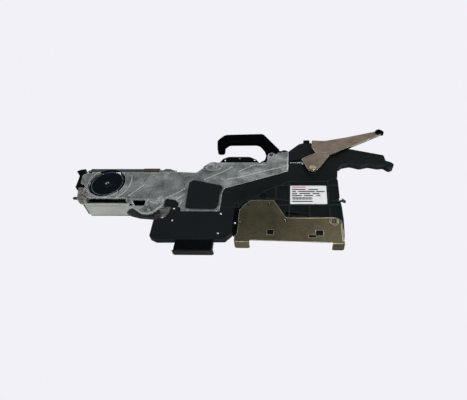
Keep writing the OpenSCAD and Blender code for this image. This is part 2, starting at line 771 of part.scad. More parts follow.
module cover_screws() {
    color("#dcdcda")
        for (p = cover_screws_xz)
            screw(p.x, p.y, screw_head_d - 0.6, cover_y + 0.6, 1.4);
    color("#dcdcda") screw(post_x, 54, screw_head_d - 0.6, 1.5, 1.4);
}

block_y = cover_y + 0.8;
contact_y = block_y + 4.5; // bottom of the recess, which opens to the far side

module connector_block() {
    color("#1b1e1f")
        difference() {
            translate([-block_len / 2, block_y, 2.5]) cube([block_len, base_t - 1.4, block_h - 3.3]);
            translate([-block_len / 2 + 3.5, contact_y, 4]) cube([block_len - 7, base_t, block_h - 9]);
            // step on the near face
            translate([-block_len / 2 - 1, block_y - 1, 14.5]) cube([block_len + 2, 1.8, block_h]);
        }
}

// Row of contacts in the block's recess
module contact_pins() {
    pitch = 2.54;
    count = floor((block_len - 12) / pitch);
    color("#c8a44a")
        for (i = [0 : count - 1])
            translate([(i - (count - 1) / 2) * pitch - 0.5, contact_y, 6]) cube([1, 0.4, block_h - 13]);
}

module bank_shoe() {
    color("#8b8b88")
        slab(cover_y, base_t)
            polygon(rounded([
                [-block_len / 2 - 2.5, 2.5, 0.4], [-block_len / 2 + 1, 0, 0.4], [block_len / 2, 0, 1],
                [block_len / 2 + 3.5, 2.5, 0.4]
            ]));
}

module small_cover() {
    color("#262a2b")
        sheet([
            [-59, 86.2, 1], [-60, 98, 2], [-57.5, 101.5, 2], [-43, 98.5, 2], [-37.2, 93, 2], [-36.6, 86.2, 1]
        ], -2.6, 2.6 - leaf_t);
}

leaf_t = 0.8;

// Bent strip that presses on the clamp hook
module leaf_spring() {
    color("#d0d1cf") {
        slab(-leaf_t, leaf_t) polygon(rounded([
            [-61, 92, 1], [-48.8, 92, 0.5], [-48.8, 77, 4], [-51.5, 69, 4], [-55.5, 64.8, 1.5], [-59, 66, 1.5],
            [-61.5, 74, 3]
        ]));
        slab(-leaf_t - 0.6, 0.6) polygon(rounded([
            [-53.6, 85.5, 0], [-50.6, 85.5, 0], [-52.4, 71, 3], [-56.5, 66, 0], [-58, 67.6, 0], [-54.8, 72, 3]
        ]));
    }
}

hook_pivot = [-66, 68];
hook_y = wall_t + 0.4;
hook_t = 5;

module clamp_hook() {
    color("#4a4745")
        difference() {
            union() {
                sheet([
                    [-120, 77, 1.5], [-117, 83.5, 2], [-109, 87, 2], [-100, 79, 3], [-92, 76, 3],
                    [-80, 76, 2], [-70, 82, 4], [-63.6, 76, 3], [-62.6, 68, 3], [-66, 65, 3], [-84, 67, 3],
                    [-96, 68, 3], [-112, 72.5, 3]
                ], hook_y, hook_t);
                bar(hook_pivot.x, hook_pivot.y, 7.4, -0.3, hook_y + 0.3 + lap);
            }
            bar(hook_pivot.x, hook_pivot.y, 4 + 2 * slide, -1, 12);
            bar(-109, 76.5, 1.8, 0, hook_y + 1);
        }
}

module hook_pin() {
    color("#d5d6d4") {
        bar(hook_pivot.x, hook_pivot.y, 4, -1.8, hook_y + hook_t + fit + 4.3);
        bar(hook_pivot.x, hook_pivot.y, 5.5, -1.8, 1.2);
    }
}

// Steel plate with a rolled top edge and two bent feet
plate_y = -plate_t;
plate_screw_xz = [[plate_x0 + 15, 92], [111.5, 92.5], [plate_x0 + 3.6, 55], [138, 58.5], [213.5, 57]];
foot_x = [plate_x0 - 3.5, plate_x0 + 20, 208.5, 227.2]; // ends of the two feet

// Windows: x, z, width and height; the last one joins its neighbour's corner
plate_windows = [[110, 31.6, 10.2, 9.2], [184.2, 29.6, 11.6, 10.2], [173.4, 26.4, 11.6, 5]];

module side_plate() {
    color("#867f6d") {
        difference() {
            union() {
                sheet([
                    [foot_x[0], 20, 0], [foot_x[0], 28, 1.5], [plate_x0 + 0.6, 32, 2], [plate_x0, 78, 3],
                    [plate_x0 + 6, 88, 2], [plate_x0 + 14, 97.5, 3], [plate_x0 + 22, 99.8, 3], [118, 99.8, 2],
                    [138.5, 64.2, 1], [216, 64, 3], [224, 60, 4], [226, 53, 3], [foot_x[3], 17, 0],
                    [foot_x[2], 17, 0], [foot_x[2] - 1, 18, 0], [foot_x[1] + 1, 21.5, 0], [foot_x[1], 20, 0]
                ], plate_y, plate_t);
                // rolled edges
                slab(plate_y - 1, 1 + lap) polygon([[139.5, 64], [216, 64], [216, 62.3], [140.5, 62.3]]);
                slab(plate_y - 1, 1 + lap) polygon([[226.4, 20], [224.4, 20], [223.8, 52], [225.9, 53]]);
                // raised ring round the rear screw
                slab(plate_y - 1.2, 1.2 + lap) translate(plate_screw_xz[4]) difference() {
                    circle(d = 14);
                    circle(d = 10);
                }
            }
            // windows and the small slot
            for (w = plate_windows)
                slab(plate_y - 2, plate_t + 4) translate([w[0], w[1]]) square([w[2], w[3]]);
            for (p = plate_screw_xz)
                bar(p.x, p.y, 3.4, plate_y - 2, plate_t + 4);
        }
        foot(foot_x[0], foot_x[1], 18.5);
        foot(foot_x[2], foot_x[3], 15.5);
    }
}

// A foot bent towards the far side, its free corners rounded
module foot(x0, x1, z) {
    r = 4;
    translate([0, 0, z])
        linear_extrude(plate_t)
            polygon(rounded([
                [x0, plate_y, 0], [x1, plate_y, 0], [x1, plate_y + foot_reach, r], [x0, plate_y + foot_reach, r]
            ]));
    translate([x0, plate_y, z]) cube([x1 - x0, plate_t, 4]);
}

module plate_screws() {
    color("#cfc9bb")
        for (p = plate_screw_xz) {
            screw(p.x, p.y, screw_head_d, plate_y, 1.2);
            bar(p.x, p.y, 3, plate_y - lap, plate_t + wall_t);
        }
}

module post() {
    color("#4d4f4f")
        sheet([
            [post_x - 2.5, 33, 1], [post_x - 1.5, 85.6, 1], [post_x + 3, 85.6, 1], [post_x + 3, 35, 1]
        ], 1.5, 6);
}

// ---------------------------------------------------------------- rear body

// Panel with its lattice of ribs, the tape's entry behind it
panel_ribs = [
    [[121, 106], [121, 128]],
    [[143.6, 66], [143.6, 141]],
    [[176, 66], [176, 91]],
    [[208, 66], [208, 142]],
    [[130, 133.5], [144, 133.5]],
    [[206, 133.5], [225, 133.5]],
    [[126, 91], [227, 91]],
    [[132, 102], [144, 99]],
    [[209, 99.5], [220, 99.5]],
    [[106, 104.5], [132, 102]]
];

module rear_panel() {
    color("#2a2f31")
        difference() {
            union() {
                sheet([
                    [panel_x0, 26, 1], [panel_x0, 97, 2], [panel_x0 + 16, 102.5, 3], [100, 119.5, 3],
                    [122, 130.5, 0], [143, 142.5, 3],
                    [205, 142.5, 8], [223, 151, 1], [225.5, 146, 2], [226, 106, 2], [panel_x1, 88, 2],
                    [panel_x1 + 1, 60, 2], [panel_x1, 26, 1]
                ], 0, wall_t);
                for (r = panel_ribs)
                    rib(r, 1.8, -1.2, 1.2 + lap);
                // floor that ties the panel to the far cover
                translate([panel_x0 + 8, wall_t - lap, 62]) cube([panel_x1 - panel_x0 - 8, far_y - wall_t, 2.5]);
            }
            // tapered slot and the peaked opening
            slab(-1, wall_t + 2) polygon([[137, 71.5], [137, 78.5], [176, 72], [176, 70.5]]);
            slab(-1, wall_t + 2) polygon(rounded([
                [90, 105.5, 1], [93, 112, 1], [98, 119.5, 2], [104, 114, 2], [109, 107, 1]
            ]));
            for (p = plate_screw_xz)
                bar(p.x, p.y, 3, -1, wall_t + 2);
        }
}

module rear_far_cover() {
    color("#2a2f31")
        difference() {
            sheet([
                [frame_end_x + fit, 62, 0], [frame_end_x + fit, 176, 3], [200, 176, 8], [224, 158, 8],
                [226, 106, 2], [panel_x1, 88, 2], [panel_x1 + 1, 62, 1]
            ], far_y + 0.05, far_t);
            for (x = [156, 176, 196])
                translate([x, far_y + 1.5, 110]) cube([6, far_t, 40]);
        }
}

module label_plate() {
    color("#e9e9e6")
        sheet([[145, 93, 1], [145, 132.5, 1], [205, 132.5, 1], [205, 93, 1]], -0.5, 0.5);
}

neck_x = 249; // where the hand part starts

// X at a share f of the hand part's length
function hand(f) = neck_x + hand_len * f;

module grip() {
    color("#2a2f31")
        difference() {
            union() {
                sheet([
                    [33, 86, 1], [32.5, 120, 2], [36, 126, 1], [frame_end_x, 165.8, 0], [frame_end_x + 1, 192.5, 0],
                    [160, 194, 3], [176, 205, 5], [205, 221, 6], [neck_x, 224, 3], [hand(0.805), 207, 3],
                    [hand(0.831), 193, 3], [hand(0.948), 189, 4], [hand(1), 184, 4], [hand(0.974), 178, 3],
                    [hand(0.87), 174, 4], [hand(0.766), 182, 5], [hand(0.623), 181, 8], [hand(0.416), 185, 12],
                    [hand(0.221), 180.5, 10], [neck_x, 186.5, 14], [233, 182, 6], [227, 172, 4],
                    [225, 152.5, 2], [205, 143.1, 8], [143, 143.1, 3], [122, 131.1, 0], [100, 120.1, 3],
                    [plate_x0 + 18, 103.1, 3], [plate_x0, 98, 1], [plate_x0 - 1, 86, 1]
                ], 0, wall_t);
                // full thickness of the hand grip
                sheet([
                    [230, 176, 8], [214, 200, 12], [216, 220, 8], [neck_x, 223.5, 4], [hand(0.805), 206.5, 3],
                    [hand(0.825), 193, 3], [hand(0.942), 189, 4], [hand(0.994), 184, 4], [hand(0.968), 178.5, 3],
                    [hand(0.87), 174.5, 4], [hand(0.766), 182.5, 5], [hand(0.623), 181.5, 8], [hand(0.416), 185.5, 12],
                    [hand(0.221), 181, 10], [neck_x, 187, 14], [233, 182.5, 6]
                ], wall_t - lap, grip_t - wall_t + lap);
                // boss of the lever's pivot and the guide block of the link rod
                bar(lever_pivot.x, lever_pivot.y, 16, wall_t - lap, grip_t - wall_t + lap);
                bar(lever_pivot.x, lever_pivot.y, 14, -1.4, 1.4 + lap);
                // web to the far cover above the tape's entry
                translate([150, wall_t - lap, 148]) cube([60, far_y - wall_t, 2.5]);
            }
            bar(lever_pivot.x, lever_pivot.y, lever_pin_d + 2 * slide, -3, grip_t + 6);
            slab(-1, 2.4) translate([34.5, 116.6]) square([12, 2.4]);
            translate([cover_end, 0, 0])
                slab(-1, wall_t + 2) polygon([[1.5, 88], [6, 88], [6.5, 97], [2, 97]]);
            // passage for the lever's pin, and the notch that shows the link rod
            slab(-1, wall_t + 2) translate([lever_arm.x - 4, lever_arm.y - 4]) square([15, 12]);
            slab(-1, wall_t + 2) translate([frame_end_x + 3.5, lever_arm.y - 1]) square([20.5, 12]);
        }
}

// ---------------------------------------------------------------- clamp lever

lever_pivot = [183, 167];
lever_y = -2.2 - lever_fold; // near face of the lever
lever_arm = [168.5, 187.5]; // centre of the pin that draws the link rod

module lever() {
    color("#8a7b6c")
        difference() {
            union() {
                sheet([
                    [183, 239, 3], [206, 237, 30], [244, 246, 0], [306, 264, 2], [313, 262, 3], [312, 256, 2],
                    [248, 220, 20], [214, 201, 12], [191.5, 164, 8], [183.5, 157.5, 6], [176, 162.5, 5],
                    [163.8, 189.8, 2.5], [175, 197, 10], [189.5, 205, 1], [184, 218, 5]
                ], lever_y, lever_t);
                // folded lower edge
                slab(lever_y + lever_t - lap, lever_fold - lever_t + lap) polygon([
                    [193, 168.5], [212.6, 201.2], [247.6, 221.5], [309, 256.8], [309.8, 255.2], [248, 219.9],
                    [214, 200], [194.6, 168.4]
                ]);
                bar(lever_pivot.x, lever_pivot.y, 13, lever_y + lever_t - lap, lever_fold - lever_t + lap);
                bar(lever_arm.x, lever_arm.y, 3, lever_y + lever_t - lap, 12.6);
            }
            bar(lever_pivot.x, lever_pivot.y, lever_pin_d + 2 * slide, lever_y - 2, 14);
        }
}

module lever_cap() {
    color("#191b1d")
        difference() {
            sheet([
                [301, 259, 2], [303, 265, 3], [310, 268.5, 4], [318, 261, 3], [317, 258, 2], [312, 258.5, 2],
                [306, 254, 2]
            ], lever_y - 1.4, 7.5);
            sheet([
                [300, 259.5, 0], [300, 263, 0], [306, 264.3, 2], [313.3, 262.3, 3], [312.3, 255.7, 2], [300, 248.5, 0]
            ], lever_y - 0.02, lever_t + 0.04);
            sheet([[300, 249, 0], [300, 253.4, 0], [309, 258, 0], [311, 254, 0]], lever_y + lever_t - 0.02, 9);
        }
}

module lever_pin() {
    color("#d9d6cf") {
        bar(lever_pivot.x, lever_pivot.y, lever_pin_d, lever_y - 0.6, grip_t - lever_y + 1.2);
        difference() {
            bar(lever_pivot.x, lever_pivot.y, 12, lever_y - 2.2, 1.8);
            bar(lever_pivot.x, lever_pivot.y, 4.5, lever_y - 3, 1.6);
        }
        bar(lever_pivot.x, lever_pivot.y, 9, grip_t + fit, 1.4);
    }
}

// Coil round the pivot's boss, as closely wound turns
module return_spring() {
    color("#a9abad")
        for (i = [0 : 3])
            translate([lever_pivot.x, grip_t + 2.6 + i * 1.5, lever_pivot.y])
                rotate([-90, 0, 0])
                    rotate_extrude()
                        translate([lever_pin_d / 2 + 2.2, 0]) circle(d = 1.35, $fn = 16);
}

// Rod that passes the lever's pull to the clamp hook
module link_rod() {
    y = 7;
    rod_x0 = 106;
    rod_z = lever_arm.y + 7;
    color("#d3d4d4") {
        difference() {
            union() {
                translate([rod_x0, y, rod_z]) rotate([0, 90, 0]) cylinder(d = rod_d, h = lever_arm.x - 6 - rod_x0);
                translate([lever_arm.x - 6, y - 2.2, lever_arm.y - 5]) cube([12, 4.4, 17]);
            }
            // tall eye, in which the lever's pin rises as it turns
            translate([lever_arm.x - 1.5 - fit, y - 5, lever_arm.y - 1.5 - fit]) cube([3 + 2 * fit, 10, 11]);
        }
    }
}

module rear_cover() {
    color("#2d3335")
        difference() {
            union() {
                sheet([
                    [frame_end_x + fit, 193.4, 1], [frame_end_x + fit, 216, 2], [160, 236, 10], [168, 239, 2],
                    [183, 239.5, 1], [186.5, 224, 2], [190.5, 215.6, 1], [176, 206.6, 4], [160, 196, 3]
                ], 0, grip_t);
            }
            // room for the link rod and its eye
            translate([frame_end_x - 1, wall_t + 0.4, 190]) cube([50, 7, 12]);
            // guide of the button
            translate([button_x - fit, 2 - fit, 226]) cube([button_w + 2 * fit, grip_t - 4 + 2 * fit, 30]);
        }
}

button_x = 168.5;
button_w = 11.5;

module release_button() {
    color("#17191b") translate([button_x, 2, 231]) cube([button_w, grip_t - 4, 18.5]);
}

// Ball stud and the hook that hold the end of a tape reel's cover
knob_at = [226.5, 101.5];
knob_d = 4.8;

module latch_knob() {
    color("#dededc") bar(knob_at.x, knob_at.y, knob_d, -3, 3);
}

module tape_hook() {
    color("#3b3d3e")
        difference() {
            sheet([
                [222, 98, 1], [223, 105, 2], [230, 104, 2], [235.5, 98.5, 1], [234, 94.5, 1], [229, 97, 1]
            ], -1.6, 1.5);
            bar(knob_at.x, knob_at.y, knob_d, -4, 8);
        }
}

// ---------------------------------------------------------------- handle and keys

module carry_handle() {
    top = 264;
    inner = top - handle_bar;
    near = 0.6;
    color("#1d2023")
        difference() {
            union() {
                sheet([
                    [11, 220, 5], [7.5, 247, 12], [20, top - 0.5, 12], [92.5, top + 2, 9], [124.5, 222, 3],
                    [122, 201, 2], [104, 200, 0], [104, 191.6, 0], [88, 191.6, 1], [98.5, 196.5, 6], [101.5, 211, 8],
                    [97, 228, 12], [86, inner - 1, 14], [30, inner - 1.5, 8], [23, 236, 5], [24, 220, 5]
                ], near, handle_t);
                // foot behind the frame's rear block
                sheet([
                    [110, 202, 1], [110, frame_top_z + 5, 1], [129, frame_top_z + 5.5, 1], [131, frame_top_z + 7.5, 1],
                    [136, frame_top_z + 7.5, 1], [138, frame_top_z + 5.5, 1], [frame_end_x - 0.5, frame_top_z + 5.5, 1],
                    [frame_end_x - 0.5, 206, 1], [122, 202, 1]
                ], wall_t + 0.2, 5);
            }
            // step that clears the near wall
            translate([80, near - 1, 180]) cube([60, wall_t + 1.2 - near, frame_top_z + 0.3 - 180]);
            bar(handle_screw.x, handle_screw.y, 3.2, wall_t - 1, handle_t + 2);
        }
}

module handle_screws() {
    color("#d7d7d4") {
        screw(handle_screw.x, handle_screw.y, 7, -0.8, 1.6);
        bar(handle_screw.x, handle_screw.y, 3.2, -0.8 - lap, wall_t + 10);
    }
}

panel_top = 206;

module key_panel() {
    color("#1f2225")
        difference() {
            sheet([
                [17.5, 184, 1], [18, 191.5, 3], [23.5, 201, 5], [33, panel_top, 4], [71, panel_top, 6], [83, 199.5, 5],
                [89, 191.2, 3], [100, 191.2, 0], [100, 184, 1]
            ], wall_t + 0.2, far_y - wall_t - 0.4);
            for (x = key_x)
                translate([x - key_w / 2 - fit, key_y - fit, panel_top - 6]) cube([key_w + 2 * fit, key_w + 2 * fit, 8]);
            bar(lens_at.x, lens_at.y, lens_d, wall_t - 1, 2.2);
            for (x = panel_screw_x)
                bar(x, panel_screw_z, 4, wall_t - 1, 1.7);
        }
}

key_w = 9;
key_y = 26;
key_x = [38, 54];
lens_at = [53.3, 202];
lens_d = 3;
panel_screw_x = [27.5, 80.5];
panel_screw_z = 197;

module key(x) {
    translate([x - key_w / 2, key_y, panel_top - 4.5]) cube([key_w, key_w, 6.3]);
}

module key_forward() { color("#d9dbda") key(key_x[0]); }

module key_back() { color("#8b8f92") key(key_x[1]); }

module status_lens() {
    color("#5c8f5a") bar(lens_at.x, lens_at.y, lens_d, wall_t + 0.4, 0.8);
}

module panel_screws() {
    color("#d7d7d4")
        for (x = panel_screw_x)
            screw(x, panel_screw_z, 3.8, wall_t + 0.7, 1);
}

main_frame();
far_frame();
bottom_rail();
bottom_cover();
front_block();
front_pin();
exit_guide();
tape_guide();
guide_liner();
guide_pins();
guide_latch();
feed_wheel();
wheel_gear();
wheel_screw();
wheel_axle();
idler_gear();
idler_axle();
pinion();
motor();
motor_bracket();
motor_cover();
takeup_housing();
roller_lower();
roller_upper();
takeup_pins();
tape_channel();
channel_roof();
board_cover();
circuit_board();
cover_screws();
connector_block();
contact_pins();
bank_shoe();
small_cover();
leaf_spring();
clamp_hook();
hook_pin();
side_plate();
plate_screws();
post();
rear_panel();
rear_far_cover();
label_plate();
grip();
lever();
lever_cap();
lever_pin();
return_spring();
link_rod();
rear_cover();
release_button();
latch_knob();
tape_hook();
carry_handle();
handle_screws();
key_panel();
key_forward();
key_back();
status_lens();
panel_screws();
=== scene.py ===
import json
import math
import bmesh
import bpy
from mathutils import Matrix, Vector

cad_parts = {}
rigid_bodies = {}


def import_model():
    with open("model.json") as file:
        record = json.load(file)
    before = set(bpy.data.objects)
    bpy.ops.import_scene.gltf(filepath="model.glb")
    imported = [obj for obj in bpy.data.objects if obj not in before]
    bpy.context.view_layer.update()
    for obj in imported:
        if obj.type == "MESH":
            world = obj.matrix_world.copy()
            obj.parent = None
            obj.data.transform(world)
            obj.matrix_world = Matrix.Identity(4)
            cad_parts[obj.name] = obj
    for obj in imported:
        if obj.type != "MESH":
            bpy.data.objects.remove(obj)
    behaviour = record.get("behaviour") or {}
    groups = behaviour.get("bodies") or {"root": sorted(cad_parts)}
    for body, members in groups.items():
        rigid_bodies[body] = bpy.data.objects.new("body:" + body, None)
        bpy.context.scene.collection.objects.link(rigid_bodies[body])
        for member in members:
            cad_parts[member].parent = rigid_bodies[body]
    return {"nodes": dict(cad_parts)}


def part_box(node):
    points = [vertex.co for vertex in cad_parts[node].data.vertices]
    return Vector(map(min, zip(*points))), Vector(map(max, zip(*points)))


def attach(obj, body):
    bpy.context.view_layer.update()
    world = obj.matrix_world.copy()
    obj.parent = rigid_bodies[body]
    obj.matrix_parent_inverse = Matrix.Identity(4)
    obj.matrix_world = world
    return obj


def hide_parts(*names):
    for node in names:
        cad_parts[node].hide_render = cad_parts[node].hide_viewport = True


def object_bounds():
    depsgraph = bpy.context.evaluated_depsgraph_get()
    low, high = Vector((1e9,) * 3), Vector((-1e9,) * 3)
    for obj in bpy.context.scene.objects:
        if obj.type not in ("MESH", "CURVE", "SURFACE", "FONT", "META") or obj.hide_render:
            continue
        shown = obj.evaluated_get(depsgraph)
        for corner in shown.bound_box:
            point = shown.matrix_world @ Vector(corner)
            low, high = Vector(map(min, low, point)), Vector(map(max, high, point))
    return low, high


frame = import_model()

mm = 0.001
weldMm = 0.001  # points nearer than this are one point
edgeSamples = 6  # rays for the lightened edges (wear and painted highlight) and the painted shade in corners
nodes = frame["nodes"]
sceneObjects = bpy.context.scene.collection.objects
bpy.context.view_layer.update()
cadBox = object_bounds()
print("frame loaded:", len(nodes), "nodes")


# shader helpers

def tint(hexCode):  # an sRGB hex colour as linear RGBA
    parts = [int(hexCode[i:i + 2], 16) / 255 for i in (1, 3, 5)]
    return [p / 12.92 if p <= 0.04045 else ((p + 0.055) / 1.055) ** 2.4 for p in parts] + [1.0]


def addNode(tree, kind, inputs=None, stops=(), **settings):  # a node with its settings, values and links
    node = tree.nodes.new("ShaderNode" + kind)
    for name, value in settings.items():
        setattr(node, name, value)
    for key, value in (inputs or {}).items():
        if isinstance(value, bpy.types.NodeSocket):
            tree.links.new(value, node.inputs[key])
        else:
            node.inputs[key].default_value = value
    for element, (spot, hexCode) in enumerate(stops):
        node.color_ramp.elements[element].position = spot
        node.color_ramp.elements[element].color = tint(hexCode)
    return node


def emptyTree(owner):  # the cleared node tree of a material or a world
    owner.use_nodes = True
    owner.node_tree.nodes.clear()
    return owner.node_tree


def newMaterial(name):
    material = bpy.data.materials.new(name)
    tree = emptyTree(material)
    place = addNode(tree, "TexCoord").outputs["Object"]  # metres in the row frame, riding with the piece
    return material, tree, place


def mottle(tree, place, sizeMm, detail, rough, stretch=(1, 1, 1), startMm=(0, 0, 0)):  # clouds of that size
    start = [p * mm for p in startMm]
    spread = addNode(tree, "Mapping", {"Vector": place, "Scale": stretch, "Location": start})
    clouds = addNode(tree, "TexNoise", {"Vector": spread.outputs["Vector"], "Scale": 1000 / sizeMm,
                                        "Detail": detail, "Roughness": rough})
    return clouds.outputs["Fac"]


def laidOver(tree, skin, colour, mask, none, full, most="#ffffff"):  # a second colour where the mask says
    amount = addNode(tree, "ValToRGB", {"Fac": mask}, sorted(((none, "#000000"), (full, most))))
    mixed = addNode(tree, "Mix", {0: amount.outputs["Color"], 6: skin, 7: tint(colour)}, data_type="RGBA")
    return mixed.outputs[2]


def shaded(tree, skin, grain, low, high, shade):  # darker in the valleys of the grain
    amount = addNode(tree, "ValToRGB", {"Fac": grain}, ((low, shade), (high, "#ffffff")))
    mixed = addNode(tree, "Mix", {0: amount.outputs["Color"], 6: tint("#000000"), 7: skin}, data_type="RGBA")
    return mixed.outputs[2]


def edgeWearAndHighlight(tree, skin, look):  # sharp edges lightened: partly wear where finish rubs off or a tool broke the corner, partly a painted highlight
    rounded = addNode(tree, "Bevel", {"Radius": look["wearAndHighlightMm"] * mm}, samples=edgeSamples)
    flat = addNode(tree, "NewGeometry")
    same = addNode(tree, "VectorMath", {0: rounded.outputs["Normal"], 1: flat.outputs["Normal"]},
                   operation="DOT_PRODUCT")
    return laidOver(tree, skin, look["wearAndHighlightColour"], same.outputs["Value"], none=0.985, full=0.80)


def paintedCornerShade(tree, skin, colour, reachMm):  # painted shade: inner corners and recesses darkened by an occlusion mask
    openness = addNode(tree, "AmbientOcclusion", {"Distance": reachMm * mm}, samples=edgeSamples)
    return laidOver(tree, skin, colour, openness.outputs["AO"], none=0.9, full=0.35)


def oxideAndShadeOnCutFaces(tree, skin, colour):  # the cut faces of a sheet that lies across Y, darkened: partly dull oxide, partly painted shade
    facing = addNode(tree, "SeparateXYZ", {"Vector": addNode(tree, "TexCoord").outputs["Normal"]})
    across = addNode(tree, "Math", {0: facing.outputs["Y"]}, operation="ABSOLUTE")
    return laidOver(tree, skin, colour, across.outputs["Value"], none=0.7, full=0.4)


def closeMaterial(tree, look, inputs, clouds, grain):  # gloss follows the clouds, and bump the grain
    low, high = look["roughness"]
    rough = addNode(tree, "MapRange", {"Value": clouds, "From Min": 0.3, "From Max": 0.7,
                                       "To Min": low, "To Max": high})
    bump = addNode(tree, "Bump", {"Height": grain, "Distance": look["grainDepthMm"] * mm, "Strength": 1.0})
    shader = addNode(tree, "BsdfPrincipled", {**inputs, "Roughness": rough.outputs["Result"],
                                              "Normal": bump.outputs["Normal"]})
    addNode(tree, "OutputMaterial", {"Surface": shader.outputs["BSDF"]})


# finishes, each made for what the real surface is; grain from blasting, belt or mould is drawn coarser than
# it really is, because a tenth of a millimetre would not show

def castMetal(name, look):  # castings and dull coated metal: blotches, pebble grain, painted shade in inner corners, edges lighter from wear and a painted highlight
    material, tree, place = newMaterial(name)
    start = look.get("startMm", (0, 0, 0))
    blotches = mottle(tree, place, look["blotchMm"], detail=5, rough=0.6, startMm=start)
    flow = mottle(tree, place, look["flowMm"], detail=4, rough=0.6, stretch=(1, 1, 1.4), startMm=start)
    pebble = mottle(tree, place, look["grainMm"], detail=4, rough=0.7)
    skin = laidOver(tree, tint(look["dark"]), look["skin"], blotches, none=0.36, full=0.66)
    skin = laidOver(tree, skin, look["light"], flow, none=0.5, full=0.72)
    skin = shaded(tree, skin, pebble, low=0.30, high=0.72, shade=look.get("grainShade", "#8c8c8c"))
    # inner corners darkened with painted shade; edges lightened, partly wear and partly painted highlight
    skin = paintedCornerShade(tree, skin, look.get("cornerShadeColour", "#1c1d1c"), look.get("cornerShadeMm", 3))
    skin = edgeWearAndHighlight(tree, skin, look)
    inputs = {"Base Color": skin, "Metallic": look["metallic"], "Specular IOR Level": look.get("sheen", 0.5)}
    closeMaterial(tree, look, inputs, blotches, pebble)
    return material


def brushedMetal(name, look):  # sheet, strip and wire: grain from belt or die, clouded by handling
    material, tree, place = newMaterial(name)
    grain = mottle(tree, place, look["grainMm"], detail=2, rough=0.5, stretch=look["along"])
    clouds = mottle(tree, place, look["cloudMm"], detail=4, rough=0.6)
    specks = mottle(tree, place, look["speckMm"], detail=2, rough=0.6)
    skin = laidOver(tree, tint(look["dark"]), look["light"], clouds, none=0.35, full=0.68)
    skin = shaded(tree, skin, grain, low=0.3, high=0.7, shade=look.get("grainShade", "#a8a8a8"))
    skin = laidOver(tree, skin, look["speck"], specks, none=0.60, full=0.72, most=look["speckStrength"])
    skin = edgeWearAndHighlight(tree, skin, look)
    # cut faces darkened, partly oxide and partly painted shade
    if "cutFaceOxideAndShade" in look:
        skin = oxideAndShadeOnCutFaces(tree, skin, look["cutFaceOxideAndShade"])
    closeMaterial(tree, look, {"Base Color": skin, "Metallic": look["metallic"]}, clouds, grain)
    return material


def mouldedPlastic(name, look):  # plastics and thin coloured skins: fine even grain, soft sheen, some dust
    material, tree, place = newMaterial(name)
    grain = mottle(tree, place, look["grainMm"], detail=3, rough=0.6)
    clouds = mottle(tree, place, look["cloudMm"], detail=4, rough=0.6)
    dust = mottle(tree, place, look["dustMm"], detail=5, rough=0.75)
    skin = laidOver(tree, tint(look["skin"]), look["light"], clouds, none=0.35, full=0.68)
    skin = laidOver(tree, skin, look["dust"], dust, none=0.58, full=0.8, most="#303030")
    # inner corners darkened with painted shade, where the look asks for it
    if "cornerShadeMm" in look:
        skin = paintedCornerShade(tree, skin, "#000000", look["cornerShadeMm"])
    skin = edgeWearAndHighlight(tree, skin, look)
    inputs = {"Base Color": skin, "IOR": 1.5, "Specular IOR Level": look["sheen"]}
    closeMaterial(tree, look, inputs, clouds, grain)
    return material


def turnedMetal(name, look):  # bar stock from a lathe or screw machine: bright, with fine tool marks
    material, tree, place = newMaterial(name)
    marks = mottle(tree, place, look["grainMm"], detail=2, rough=0.5)
    stain = mottle(tree, place, look["stainMm"], detail=4, rough=0.65)
    skin = laidOver(tree, tint(look["skin"]), look["stain"], stain, none=0.38, full=0.7)
    closeMaterial(tree, look, {"Base Color": skin, "Metallic": 1.0}, stain, marks)
    return material


# die-cast housing alloy, blasted and bare: cloudy grey; edges lighter, partly rubbed and partly a painted
# highlight
castAluminium = castMetal("castAluminium", {
    "dark": "#525a58", "skin": "#939b97", "light": "#c5cdc9", "wearAndHighlightColour": "#fbfffc",
    # the clouds are shifted so the middle of the frame comes out darker and the arms lighter: painted shade
    # and light over random tone
    "blotchMm": 22, "flowMm": 48, "startMm": (700, 0, 40),
    "grainMm": 2.4, "grainDepthMm": 0.1, "grainShade": "#727272",
    "wearAndHighlightMm": 0.8, "metallic": 0.35, "roughness": (0.36, 0.5)})
# the same casting darkened by oil round the tape's exit
stainedCast = castMetal("oilStainedCasting", {
    "dark": "#565550", "skin": "#85847c", "light": "#a3a29a", "wearAndHighlightColour": "#eeede6",
    "blotchMm": 5, "flowMm": 12, "grainMm": 0.8, "grainDepthMm": 0.08,
    "wearAndHighlightMm": 0.5, "metallic": 0.35, "roughness": (0.4, 0.55)})
# hot-blacked steel: near black with a dull shine, grey where it rubs
blackOxide = castMetal("blackOxideSteel", {
    "dark": "#0b0b0a", "skin": "#141413", "light": "#1d1d1b", "wearAndHighlightColour": "#7c7c74",
    "blotchMm": 5, "flowMm": 10, "grainMm": 0.5, "grainDepthMm": 0.03,
    "wearAndHighlightMm": 0.35, "metallic": 0.5, "roughness": (0.4, 0.52)})
# the casting's far wall: bare outside, dark inside with painted shade
castFar = castMetal("castAluminiumFar", {
    "dark": "#5f6361", "skin": "#7e8280", "light": "#9da19e", "wearAndHighlightColour": "#d4d7d4",
    "blotchMm": 22, "flowMm": 48, "grainMm": 2.4, "grainDepthMm": 0.12, "cornerShadeMm": 40, "cornerShadeColour": "#15191b",
    "wearAndHighlightMm": 0.4, "metallic": 0.85, "roughness": (0.42, 0.58)})
# hard-anodised shoe: charcoal and matt, with grey corners
shoeAlloy = castMetal("shoeAlloy", {
    "dark": "#141311", "skin": "#1c1b18", "light": "#272521", "wearAndHighlightColour": "#625f57",
    "blotchMm": 8, "flowMm": 18, "grainMm": 0.8, "grainDepthMm": 0.06,
    "wearAndHighlightMm": 0.3, "sheen": 0.12, "metallic": 0.4, "roughness": (0.45, 0.6)})
